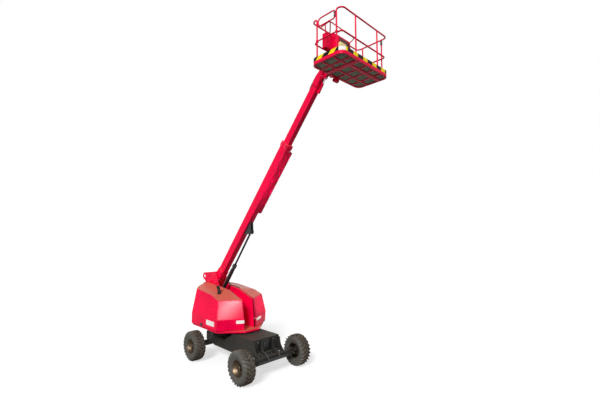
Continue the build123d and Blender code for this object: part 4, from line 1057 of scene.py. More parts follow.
@dataclass(frozen=True)
class Softbox:
    """A square lamp that the camera can't see.

    Attributes:
        name: The lamp's name.
        spot: Where it stands.
        aim: The point that it shines at.
        size: The length of its side.
        power: Its power in watts.
        spread_deg: How wide its light opens.
        diffuse: Whether it lights matt surfaces too, and not shiny ones alone.
    """

    name: str
    spot: Spot
    aim: Spot
    size: float
    power: float
    spread_deg: float = 180.0
    diffuse: bool = True

    def build(self) -> None:
        """Stand the lamp and aim it."""
        data = bpy.data.lights.new(self.name, "AREA")
        data.energy = self.power
        data.size = self.size
        data.spread = math.radians(self.spread_deg)
        lamp = bpy.data.objects.new(self.name, data)
        bpy.context.scene.collection.objects.link(lamp)
        lamp.location = self.spot
        lamp.rotation_euler = (Vector(self.spot) - Vector(self.aim)).to_track_quat("Z", "Y").to_euler()
        lamp.visible_camera = False
        lamp.visible_diffuse = self.diffuse


@dataclass
class Studio:
    """Camera at the photograph's place, pale floor, and soft light from the machine's right."""

    eye: Spot = (10.407, -6.785, 4.088)
    yaw_deg: float = 45.334
    pitch_deg: float = 5.306
    lens_mm: float = 20.89
    sensor_mm: float = 36.0
    floor_reach: float = 120.0
    floor_bounce: str = "#707070"
    floor_shown: str = "#B4B4B4"
    floor_glow: float = 0.62
    sky_level: float = 0.38
    sun_power: float = 3.3
    sun_from: Spot = (0.42, -0.72, 0.62)
    sun_softness_deg: float = 18.0
    softboxes: tuple[Softbox, ...] = (
        Softbox("hood_sheen", (5.49, -2.76, 3.26), (1.15, -0.62, 2.0), size=0.7, power=560.0, diffuse=False),
        Softbox("front_fill", (4.6, 2.9, 1.0), (1.1, 0.55, 1.7), size=0.8, power=2.4, spread_deg=18.0),
        Softbox("boom_fill", (8.5, -2.5, 1.2), (2.2, 0.0, 5.75), size=0.8, power=5.0, spread_deg=18.0),
    )

    def build(self) -> None:
        """Set up the camera, the floor, the light and the view."""
        bpy.context.scene.view_settings.view_transform = "Standard"
        self._camera()
        self._floor()
        self._sky()
        self._sun()
        for softbox in self.softboxes:
            softbox.build()

    def _camera(self) -> None:
        """Add the camera and look through it."""
        data = bpy.data.cameras.new("photo_camera")
        data.sensor_width = self.sensor_mm
        data.sensor_fit = "HORIZONTAL"
        data.lens = self.lens_mm
        camera = bpy.data.objects.new("photo_camera", data)
        bpy.context.scene.collection.objects.link(camera)
        yaw, pitch = math.radians(self.yaw_deg), math.radians(self.pitch_deg)
        ahead = Vector((-math.sin(yaw) * math.cos(pitch), math.cos(yaw) * math.cos(pitch), math.sin(pitch)))
        camera.location = self.eye
        camera.rotation_euler = ahead.to_track_quat("-Z", "Y").to_euler()
        bpy.context.scene.camera = camera

    def _seen(self, tree: bpy.types.NodeTree) -> Socket:
        """One where the camera, a mirror or glass looks, and zero where light is gathered.

        Args:
            tree: The tree that asks.

        Returns:
            The socket with that value.
        """
        path = add_node(tree, "ShaderNodeLightPath", {}, {}).outputs
        seen = path["Is Camera Ray"]
        for ray in ("Is Glossy Ray", "Is Transmission Ray"):
            links = {0: seen, 1: path[ray]}
            seen = add_node(tree, "ShaderNodeMath", {"operation": "MAXIMUM"}, links).outputs[0]
        return seen

    def _floor(self) -> None:
        """Lay a wide pale floor that shows white, with the machine's shadow on it."""
        bpy.ops.object.select_all(action="DESELECT")
        bpy.ops.mesh.primitive_plane_add(size=self.floor_reach)
        floor = bpy.context.active_object
        floor.name = "studio_floor"
        made = bpy.data.materials.new("pale_studio_floor")
        made.use_nodes = True
        tree = made.node_tree
        tree.nodes.clear()
        lit = add_node(tree, "ShaderNodeBsdfDiffuse", {"Color": linear(self.floor_bounce)}, {})
        half = add_node(tree, "ShaderNodeBsdfDiffuse", {"Color": linear(self.floor_shown)}, {})
        glow = add_node(tree, "ShaderNodeEmission", {"Strength": self.floor_glow}, {})
        white = add_node(tree, "ShaderNodeAddShader", {}, {0: half.outputs[0], 1: glow.outputs[0]})
        links = {0: self._seen(tree), 1: lit.outputs[0], 2: white.outputs[0]}
        shown = add_node(tree, "ShaderNodeMixShader", {}, links)
        add_node(tree, "ShaderNodeOutputMaterial", {}, {"Surface": shown.outputs[0]})
        floor.data.materials.append(made)

    def _sky(self) -> None:
        """Light the scene evenly from all round, and show white behind it."""
        world = bpy.data.worlds.new("studio_sky")
        bpy.context.scene.world = world
        world.use_nodes = True
        tree = world.node_tree
        tree.nodes.clear()
        values = {"To Min": self.sky_level, "To Max": 1.0}
        level = add_node(tree, "ShaderNodeMapRange", values, {"Value": self._seen(tree)})
        white = {"Color": (1.0, 1.0, 1.0, 1.0)}
        sky = add_node(tree, "ShaderNodeBackground", white, {"Strength": level.outputs[0]})
        add_node(tree, "ShaderNodeOutputWorld", {}, {"Surface": sky.outputs[0]})

    def _sun(self) -> None:
        """Add one large soft key light."""
        data = bpy.data.lights.new("key_light", "SUN")
        data.energy = self.sun_power
        data.angle = math.radians(self.sun_softness_deg)
        sun = bpy.data.objects.new("key_light", data)
        bpy.context.scene.collection.objects.link(sun)
        sun.rotation_euler = Vector(self.sun_from).to_track_quat("Z", "Y").to_euler()


BOOM_PIVOT = Vector((-0.55, 0.0, 2.5))
BOOM_ANGLE = math.radians(50)
BOOM_AXIS_DROP = 0.05


def on_boom(run: float, rise: float, across: float) -> Vector:
    """Find a place on the raised boom.

    Args:
        run: How far it is from the pivot, along the boom's axis.
        rise: How far it is above that axis, square to it.
        across: How far it is to the boom's left.

    Returns:
        The place in the machine's frame.
    """
    ahead = Vector((math.cos(BOOM_ANGLE), 0.0, math.sin(BOOM_ANGLE)))
    above = Vector((-math.sin(BOOM_ANGLE), 0.0, math.cos(BOOM_ANGLE)))
    return BOOM_PIVOT + run * ahead + (rise - BOOM_AXIS_DROP) * above + Vector((0.0, across, 0.0))


def looking_out(place: Matrix) -> Vector:
    """The way that a placement's own Z points."""
    return place.to_3x3() @ UP


@dataclass
class HexBolts:
    """Like bolts on one body, each a flanged hexagon head with a dished top.

    Attributes:
        name: The name of the piece that they are joined to.
        body: The body that they move with.
        slot: The record's material slot.
        size: The radius and height of a head.
    """

    name: str
    body: str
    slot: str
    size: tuple[float, float] = (0.014, 0.012)
    flange: float = 0.004
    flange_share: float = 1.25
    crown_share: float = 0.2
    dish: float = 0.0015

    def build(self, places: Sequence[Matrix], finish: Finish) -> None:
        """Model one bolt and stand it at each place.

        Args:
            places: Where each bolt sits, with its own Z out of the surface.
            finish: The bolts' finish.
        """
        radius, height = self.size
        wide = self.flange_share * radius
        bolt = Piece.drum(self.name, wide, self.flange, raised(self.flange / 2), HEX_SIDES)
        bolt.inset(facing(UP), wide - radius)
        bolt.extrude(middle(UP, self.flange * UP, self.dish), height * UP)
        bolt.inset(middle(UP, (self.flange + height) * UP, self.dish), self.crown_share * radius, self.dish)
        bolt.array(places).dress(finish, self.body, self.slot)


@dataclass
class BlankPlate:
    """A bare plate with rounded corners and a raised rim.

    Attributes:
        name: The plate's name.
        seat: The spot that its middle sits on.
        size: Its width and height.
        body: The body that it moves with.
    """

    name: str
    seat: Seat
    size: tuple[float, float]
    body: str
    thick: float = 0.004
    corner: float = 0.012
    rim: float = 0.006
    sink: float = 0.001

    def build(self) -> None:
        """Model the plate on its seat."""
        place = self.seat.place()
        out = looking_out(place)
        plate = Piece.block(self.name, (*self.size, self.thick), place @ raised(self.thick / 2))
        plate.bevel(self.corner, CORNER_STEPS, Pick.EDGE, along(out))
        plate.inset(facing(out), self.rim, -self.sink)
        plate.dress(BLANK_PLATE, self.body, "red_paint")


@dataclass
class LuggedWheel:
    """A lugged tyre with its rim, nuts and hub cap.

    Attributes:
        place: The wheel's name.
        side: The side of the machine that it is on.
    """

    place: str
    side: Side
    crown_radius: float = 0.412
    belly_half: float = 0.1825
    shoulder_round: float = 0.075
    shoulder_steps: int = 5
    bead_round: float = 0.028
    bead_steps: int = 2
    bead_band: float = 0.055
    bead_pinch: float = 0.80
    carcass_steps: int = 72
    wall_band: float = 0.06
    wall_rib: float = 0.010
    wall_rise: float = 0.005
    lug_rows: int = 24
    lug_width: float = 0.036
    lug_root: float = 0.400
    lug_tip: float = 0.4585
    lug_first: float = 0.03
    lug_round: float = 0.005
    lug_start: float = -0.014
    # Each step of a lug: how far out, how far up, and how far round in radians
    lug_steps: tuple[Spot, ...] = (
        (0.072, -0.002, 0.10), (0.056, -0.006, 0.085), (0.026, -0.030, 0.045), (0.008, -0.052, 0.02),
    )
    lug_end_limit: float = 0.5
    lug_tip_limit: float = 0.6
    nut_count: int = 9
    nut_circle: float = 0.106
    nut_radius: float = 0.017
    nut_height: float = 0.018
    nut_round: float = 0.0015
    stud_share: float = 0.7
    stud_rise: float = 0.011
    stud_taper: float = 0.8
    cap_radius: float = 0.076
    cap_height: float = 0.052
    cap_rise: float = 0.008
    cap_round: float = 0.004
    cap_shares: tuple[float, float, float] = (0.2, 0.25, 0.2)

    @property
    def body(self) -> str:
        """The body that the wheel turns with."""
        return f"wheel_{self.place}"

    @property
    def centre(self) -> Vector:
        """The middle of the tyre."""
        low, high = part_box(f"tyre_{self.place}")
        return (low + high) / 2

    def build(self, pattern: Piece | None) -> Piece:
        """Build the tyre, or copy a finished one, and fit the nuts and the hub cap.

        Args:
            pattern: A finished tyre of another wheel, centred on the origin, or None to model it.

        Returns:
            The tyre's pattern, centred on the origin.
        """
        if pattern is None:
            pattern = self._tyre()
        turn = Matrix.Rotation(math.pi if self.side is Side.LEFT else 0.0, 4, "Z")
        tyre = pattern.twin(Matrix.Translation(self.centre) @ turn)
        tyre.shape.name = f"lugged_tyre_{self.place}"
        tyre.dress(TYRE, self.body, "tyre_rubber", [f"tyre_{self.place}"])
        paint(BRONZE, f"rim_{self.place}")
        self._nuts()
        self._cap()
        return pattern

    def _tyre(self) -> Piece:
        """Model a tyre on the origin: carcass, walls and two rows of slanted lugs.

        Returns:
            The tyre.
        """
        low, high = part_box(f"rim_{self.place}")
        rim_radius = (high.z - low.z) / 2
        height = self.crown_radius - rim_radius
        middle_radius = rim_radius + height / 2
        upright = raised(middle_radius) @ Matrix.Rotation(math.pi / 2, 4, "Y")
        carcass = Piece.sheet("carcass", height, 2 * self.belly_half, upright)
        carcass.bevel(
            self.shoulder_round, self.shoulder_steps, Pick.VERTEX, lambda spot, _n: spot.z > middle_radius
        )
        carcass.bevel(
            self.bead_round, self.bead_steps, Pick.VERTEX, lambda spot, _n: spot.z < rim_radius + MM
        )
        carcass.squeeze(lambda spot, _n: spot.z < rim_radius + self.bead_band, self.bead_pinch)
        carcass.spin(self.carcass_steps)
        wall_start = rim_radius + self.wall_band
        carcass.inset(
            lambda spot, normal: abs(normal.y) > SQUARE and math.hypot(spot.x, spot.z) > wall_start,
            self.wall_rib, self.wall_rise,
        )
        carcass.shape.data.materials.append(TYRE.material())
        pitch = math.tau / self.lug_rows
        mirrored = Matrix.Diagonal((1.0, -1.0, 1.0, 1.0))
        places = []
        for row in range(self.lug_rows):
            places.append(Matrix.Rotation(row * pitch, 4, "Y"))
            places.append(Matrix.Rotation((row + 0.5) * pitch, 4, "Y") @ mirrored)
        carcass.join([self._lug().array(places)])
        carcass.shape.name = "tyre_pattern"
        return carcass

    def _lug(self) -> Piece:
        """Model one lug at the top of the tyre, from its middle out over the shoulder.

        Returns:
            The lug.
        """
        height = self.lug_tip - self.lug_root
        start = Matrix.Translation((0, self.lug_start + self.lug_first / 2, self.lug_root + height / 2))
        lug = Piece.block("lug", (self.lug_width, self.lug_first, height), start)
        reach = self.lug_start + self.lug_first
        for step, drop, turn in self.lug_steps:
            lug.swing(self._lug_end(reach - 2 * MM), (0.0, step, drop), turn)
            reach += step
        lug.soften(self.lug_round, segments=1)
        lug.shape.data.materials.append(TYRE.material())
        lug.shape.data.materials.append(LUG_TIP.material())
        for face in lug.shape.data.polygons:
            out = Vector((face.center.x, 0, face.center.z))
            is_tip = face.normal.dot(out.normalized()) > self.lug_tip_limit and out.length > self.crown_radius
            face.material_index = int(is_tip)
        return lug

    def _lug_end(self, reach: float) -> Test:
        """Make a test for a lug's outer end, which looks outboard beyond a reach."""
        return lambda spot, normal: normal.y > self.lug_end_limit and spot.y > reach

    def _disc(self) -> Matrix:
        """The placement on the rim's disc beside the hub, with its own Z outboard.

        Returns:
            The placement.
        """
        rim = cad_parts[f"rim_{self.place}"]
        out = Vector((0, self.side.value, 0))
        _, spot, _, _ = rim.ray_cast(self.centre + self.nut_circle * AHEAD + out, -out)
        return Matrix.Translation((self.centre.x, spot.y, self.centre.z)) @ turned(out)

    def _nuts(self) -> None:
        """Model one wheel nut on its stud and stand it round the hub."""
        name = f"wheel_nuts_{self.place}"
        nut = Piece.drum(name, self.nut_radius, self.nut_height, raised(self.nut_height / 2), HEX_SIDES)
        nut.inset(facing(UP), (1 - self.stud_share) * self.nut_radius)
        nut.extrude(middle(UP, self.nut_height * UP, MM), self.stud_rise * UP, self.stud_taper)
        nut.soften(self.nut_round, segments=1)
        disc = self._disc()
        out = Matrix.Translation(self.nut_circle * AHEAD)
        turns = [index * math.tau / self.nut_count for index in range(self.nut_count)]
        nuts = nut.array([disc @ Matrix.Rotation(turn, 4, "Z") @ out for turn in turns])
        nuts.dress(BRONZE, self.body, "rim_paint")

    def _cap(self) -> None:
        """Model the hub cap: a stepped cup with a sunk middle."""
        name = f"hub_cap_{self.place}"
        slope, ledge, sink = (share * self.cap_radius for share in self.cap_shares)
        top = (self.cap_height + self.cap_rise) * UP
        cap = Piece.drum(name, self.cap_radius, self.cap_height, raised(self.cap_height / 2), RING_SIDES)
        cap.inset(facing(UP), slope, self.cap_rise)
        cap.inset(middle(UP, top, MM), ledge)
        cap.inset(middle(UP, top, MM), sink, -self.cap_rise)
        cap.soften(self.cap_round)
        cap.shape.data.transform(self._disc())
        cap.dress(BRONZE, self.body, "rim_paint")


@dataclass
class Chassis:
    """The wheeled frame with its axles, slewing pedestal, hoses and bolts."""

    ring_bolts: int = 28
    ring_circle: float = 0.525
    ring_z: float = 0.970
    side_bolt: tuple[float, float] = (0.018, 0.012)
    side_bolts: tuple[tuple[float, float], ...] = (
        (0.89, 0.727), (1.233, 0.75), (0.872, 0.617), (1.178, 0.635),
    )
    panel_bolt: tuple[float, float] = (0.010, 0.006)
    panel_inset: float = 0.045
    handle_reach: float = 0.045
    handle_half: float = 0.09
    handle_radius: float = 0.009
    valve_centre: Spot = (2.17, 0.0, 0.535)
    valve_size: Spot = (0.10, 0.84, 0.12)
    valve_margins: tuple[float, float] = (0.018, 0.015)
    valve_rises: tuple[float, float] = (0.010, 0.012)
    valve_round: float = 0.003
    valve_ports: int = 7
    valve_port: tuple[float, float] = (0.016, 0.014)
    valve_port_out: float = 0.06
    hose_radius: float = 0.013
    hose_route: tuple[Spot, ...] = (
        (2.115, 0.24, 0.60), (2.20, 0.24, 0.66), (2.36, 0.22, 0.64), (2.46, 0.21, 0.56), (2.495, 0.21, 0.495),
    )

    def build(self) -> None:
        """Paint the frame and fit its bolts, panel and hoses."""
        paint(CHARCOAL, "chassis_frame", "slew_pedestal", "front_axle", "axle_brackets", "rear_axle")
        paint(CHARCOAL, "knuckle_right", "knuckle_left")
        paint(BLACK_PANEL, "front_panel", "steering_cylinder")
        self._ring_bolts()
        self._side_bolts()
        self._panel_bolts()
        self._handle()
        self._hoses()
        self._valve_block()

    def _ring_bolts(self) -> None:
        """Stand bolts round the slewing ring."""
        places = []
        for index in range(self.ring_bolts):
            turn = Matrix.Rotation(index * math.tau / self.ring_bolts, 4, "Z")
            places.append(turn @ Matrix.Translation((self.ring_circle, 0, self.ring_z)) @ turned(DOWN))
        HexBolts("slewing_ring_bolts", "chassis", "charcoal_paint").build(places, PIN_STEEL)

    def _side_bolts(self) -> None:
        """Stand bolts on the frame's flanks."""
        places = []
        for side in Side:
            for run, height in self.side_bolts:
                start = (run, CLEAR * side.value, height)
                places.append(Seat("chassis_frame", start, (0, -side.value, 0)).place())
        HexBolts("frame_side_bolts", "chassis", "charcoal_paint", self.side_bolt).build(places, CHARCOAL)

    def _panel_bolts(self) -> None:
        """Stand a bolt at each corner of the front panel."""
        low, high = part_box("front_panel")
        places = []
        for across in (low.y + self.panel_inset, high.y - self.panel_inset):
            for height in (low.z + self.panel_inset, high.z - self.panel_inset):
                places.append(Seat("front_panel", (CLEAR, across, height), -AHEAD).place())
        HexBolts("panel_bolts", "chassis", "charcoal_paint", self.panel_bolt).build(places, PIN_STEEL)

    def _handle(self) -> None:
        """Bend a pull handle across the front panel."""
        _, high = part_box("front_panel")
        start = (CLEAR, 0.0, high.z - 2 * self.panel_inset)
        face = Seat("front_panel", start, -AHEAD).place().translation
        route = []
        for across, reach in ((-1, 0), (-1, 1), (1, 1), (1, 0)):
            route.append(face + Vector((reach * self.handle_reach, across * self.handle_half, 0)))
        handle = Piece.tube("panel_handle", route, self.handle_radius)
        handle.dress(BLACK_PLASTIC, "chassis", "charcoal_paint")

    def _hoses(self) -> None:
        """Lead a pressure hose from the frame to each end of the steering cylinder."""
        for side in Side:
            route = [(run, side.value * across, height) for run, across, height in self.hose_route]
            hose = Piece.tube(f"steering_hose_{side.label}", route, self.hose_radius)
            hose.dress(HOSE_RUBBER, "chassis", "charcoal_paint")

    def _valve_block(self) -> None:
        """Bolt a steering valve block with a row of ports behind the axle beam."""
        place = Matrix.Translation(self.valve_centre)
        block = Piece.block("steering_valve", self.valve_size, place)
        for way, margin, rise in zip((AHEAD, UP), self.valve_margins, self.valve_rises):
            block.inset(facing(way), margin, rise)
        block.soften(self.valve_round)
        block.dress(CHARCOAL, "chassis", "charcoal_paint")
        places = []
        for index in range(self.valve_ports):
            across = ((index + 0.5) / self.valve_ports - 0.5) * self.valve_size[1]
            places.append(place @ Matrix.Translation((self.valve_port_out, across, 0)) @ turned(AHEAD))
        HexBolts("valve_ports", "chassis", "charcoal_paint", self.valve_port).build(places, PIN_STEEL)


@dataclass
class Turntable:
    """The slewing body: hoods, tower and what is fixed to them."""

    plates: tuple[BlankPlate, ...] = (
        BlankPlate(
            "side_plate", Seat("hood_right", (0.525, -2.0, 1.275), (0.0, 1.0, 0.0)), (0.47, 0.15),
            "hood_right",
        ),
        BlankPlate(
            "front_plate_right", Seat("hood_right", (3.0, -1.39, 1.332), (-0.855, 0.518, 0.0)), (0.25, 0.095),
            "hood_right",
        ),
        BlankPlate(
            "front_plate_left", Seat("hood_left", (2.9, 1.46, 1.3145), (-0.855, -0.518, 0.0)), (0.36, 0.08),
            "hood_left",
        ),
    )
    latch_spot: tuple[float, float] = (0.004, 1.147)
    latch_size: Spot = (0.13, 0.085, 0.016)
    latch_corner: float = 0.026
    latch_rim: float = 0.013
    latch_gap: float = 0.0065
    latch_sink: float = 0.008
    paddle_margin: float = 0.0156
    paddle_rise: float = 0.0096
    strip_radius: float = 0.022
    strip_across: float = 0.245
    strip_stations: tuple[float, ...] = (-0.36, -0.24, -0.12, 0.0, 0.12, 0.24, 0.36)
    keeper_rise: float = 0.09
    keeper_size: Spot = (0.12, 0.045, 0.012)
    keeper_corner: float = 0.012
    keeper_bolt: tuple[float, float] = (0.010, 0.008)
    keeper_bolts: tuple[float, float] = (-0.036, 0.036)
    weight_bolt: tuple[float, float] = (0.030, 0.022)
    weight_bolts: tuple[tuple[float, float], ...] = ((-0.5, 1.3), (0.5, 1.3), (-0.45, 2.05), (0.45, 2.05))
    clamp_radius: float = 0.058
    clamp_height: float = 0.030
    clamp_over: float = 0.010
    clamp_lip: float = 0.0058
    clamp_sink: float = 0.006
    clamp_round: float = 0.002

    def build(self) -> None:
        """Paint the body and fit its details."""
        paint(RED, "turntable_base", "tower_plates", "counterweight", "pivot_pins")
        paint(HOOD_RED, "hood_right", "hood_left")
        paint(ALLOY, "engine_block")
        paint(BLACK_PLASTIC, "fluid_tank")
        paint(SOOTY_STEEL, "exhaust_outlet")
        for side in Side:
            self._latch(side)
            self._keeper(side)
        for plate in self.plates:
            plate.build()
        self._seal()
        self._clamp()
        places = []
        for across, height in self.weight_bolts:
            places.append(Seat("counterweight", (-CLEAR, across, height), AHEAD).place())
        HexBolts("counterweight_bolts", "turntable", "red_iron", self.weight_bolt).build(places, PIN_STEEL)

    def _latch(self, side: Side) -> None:
        """Model a paddle latch in its tray on a hood's flank.

        Args:
            side: The hood's side.
        """
        hood = f"hood_{side.label}"
        run, height = self.latch_spot
        place = Seat(hood, (run, CLEAR * side.value, height), (0, -side.value, 0)).place()
        out = looking_out(place)
        _, tall, thick = self.latch_size
        face = place.translation + thick * out
        latch = Piece.block(f"latch_{hood}", self.latch_size, place @ raised(thick / 2))
        latch.bevel(self.latch_corner, CORNER_STEPS, Pick.EDGE, along(out))
        latch.inset(middle(out, face, tall), self.latch_rim)
        latch.inset(middle(out, face, MM), self.latch_gap, -self.latch_sink)
        latch.inset(middle(out, face, thick), self.paddle_margin, self.paddle_rise)
        latch.dress(BLACK_PLASTIC, hood, "red_paint")

    def _keeper(self, side: Side) -> None:
        """Fix a keeper plate with two bolts over the boom's pivot pin.

        Args:
            side: The pin's side.
        """
        start = (BOOM_PIVOT.x, CLEAR * side.value, BOOM_PIVOT.z + self.keeper_rise)
        place = Seat("tower_plates", start, (0, -side.value, 0)).place()
        thick = self.keeper_size[2]
        keeper = Piece.block(f"pin_keeper_{side.label}", self.keeper_size, place @ raised(thick / 2))
        keeper.bevel(self.keeper_corner, CORNER_STEPS, Pick.EDGE, along(looking_out(place)))
        keeper.soften(MM, segments=1)
        keeper.dress(RED, "turntable", "red_paint")
        places = [place @ Matrix.Translation((across, 0, thick)) for across in self.keeper_bolts]
        bolts = HexBolts(f"keeper_bolts_{side.label}", "turntable", "pin_steel", self.keeper_bolt)
        bolts.build(places, PIN_STEEL)

    def _seal(self) -> None:
        """Lay a dark rubber strip along the left hood's inner edge."""
        route = []
        for run in self.strip_stations:
            seat = Seat("hood_left", (run, self.strip_across, CLEAR), DOWN)
            route.append(seat.place(AHEAD).translation)
        Piece.tube("hood_edge_seal", route, self.strip_radius).dress(HOSE_RUBBER, "hood_left", "red_paint")

    def _clamp(self) -> None:
        """Fit a clamp band round the exhaust's foot."""
        low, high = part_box("exhaust_outlet")
        foot = (high.x - self.clamp_radius + self.clamp_over, (low.y + high.y) / 2, low.z + self.clamp_height)
        place = Matrix.Translation(foot)
        clamp = Piece.drum("exhaust_clamp", self.clamp_radius, self.clamp_height, place, RING_SIDES)
        clamp.inset(facing(UP), self.clamp_lip, -self.clamp_sink)
        clamp.soften(self.clamp_round)
        clamp.dress(SOOTY_STEEL, "hood_right", "exhaust_steel")


@dataclass
class Boom:
    """The telescoping boom with its cylinders and hose guide."""

    barrel_foot: Spot = (-0.335, 0.0, 2.005)
    barrel_way: Spot = (0.6157, 0.0, 0.7880)
    pipe_radius: float = 0.011
    # Along the barrel from its foot, and across
    pipe_route: tuple[tuple[float, float], ...] = (
        (0.12, -0.05), (0.13, -0.088), (0.22, -0.088), (1.02, -0.088), (1.13, -0.088), (1.14, -0.05),
    )
    loop_radius: float = 0.012
    # Along the boom from its pivot, and above its axis
    loop_route: tuple[tuple[float, float], ...] = (
        (7.13, 0.112), (7.18, 0.130), (7.40, 0.132), (7.56, 0.128), (7.62, 0.112),
    )
    loop_lanes: tuple[float, ...] = (-0.066, -0.040)
    collar_bolt: tuple[float, float] = (0.013, 0.009)
    collar_bolts: tuple[tuple[float, float], ...] = ((5.40, 0.08), (5.40, -0.08), (5.47, 0.08), (5.47, -0.08))
    end_radius: float = 0.014
    end_lanes: tuple[float, ...] = (0.125, 0.155)
    # Along the boom, above its axis, and outward from the lane
    end_route: tuple[Spot, ...] = ((5.30, 0.02, 0.0), (5.40, 0.05, 0.01), (5.48, 0.04, 0.0))
    end_port: Spot = (5.50, 0.0, 0.118)

    def build(self) -> None:
        """Paint the boom and its cylinders, and fit pipes, hoses and bolts."""
        paint(RED, "base_boom", "boom_collar", "hose_tray", "fly_boom", "fly_head", "level_bracket")
        paint(RED, "level_barrel")
        paint(BLACK_PLASTIC, "hose_chain")
        paint(BLACK_PANEL, "lift_barrel", "cylinder_bracket")
        paint(CHARCOAL, "rotator")
        # The lift rod's dark colour is a painted reflection.
        paint(DARK_REFLECTION_ROD, "lift_rod")
        paint(CHROME, "level_rod")
        self._barrel_pipe()
        self._tip_hoses()
        self._collar_bolts()
        self._end_hoses()

    def _barrel_pipe(self) -> None:
        """Run a steel pipe along the lift barrel, from its foot to its gland."""
        foot, way = Vector(self.barrel_foot), Vector(self.barrel_way)
        route = [foot + run * way + Vector((0, across, 0)) for run, across in self.pipe_route]
        Piece.tube("lift_pipe", route, self.pipe_radius).dress(PIN_STEEL, "lift_barrel", "charcoal_paint")

    def _tip_hoses(self) -> None:
        """Run a pair of hoses along the fly's upper edge near the tip."""
        for index, across in enumerate(self.loop_lanes):
            route = [on_boom(run, rise, across) for run, rise in self.loop_route]
            hose = Piece.tube(f"tip_hose_{index + 1}", route, self.loop_radius)
            hose.dress(HOSE_RUBBER, "fly", "red_paint")

    def _collar_bolts(self) -> None:
        """Stand the wear pads' bolts on both flanks of the collar."""
        places = []
        for side in Side:
            for run, rise in self.collar_bolts:
                start = on_boom(run, rise, CLEAR * side.value)
                places.append(Seat("boom_collar", start, (0, -side.value, 0)).place())
        HexBolts("wear_pad_bolts", "base_boom", "red_paint", self.collar_bolt).build(places, PIN_STEEL)

    def _end_hoses(self) -> None:
        """Lead hoses from the end of the hose guide round to the collar."""
        for index, lane in enumerate(self.end_lanes):
            route = [on_boom(run, rise, lane + outward) for run, rise, outward in self.end_route]
            route.append(on_boom(*self.end_port))
            hose = Piece.tube(f"guide_hose_{index + 1}", route, self.end_radius)
            hose.dress(HOSE_RUBBER, "base_boom", "chain_plastic")


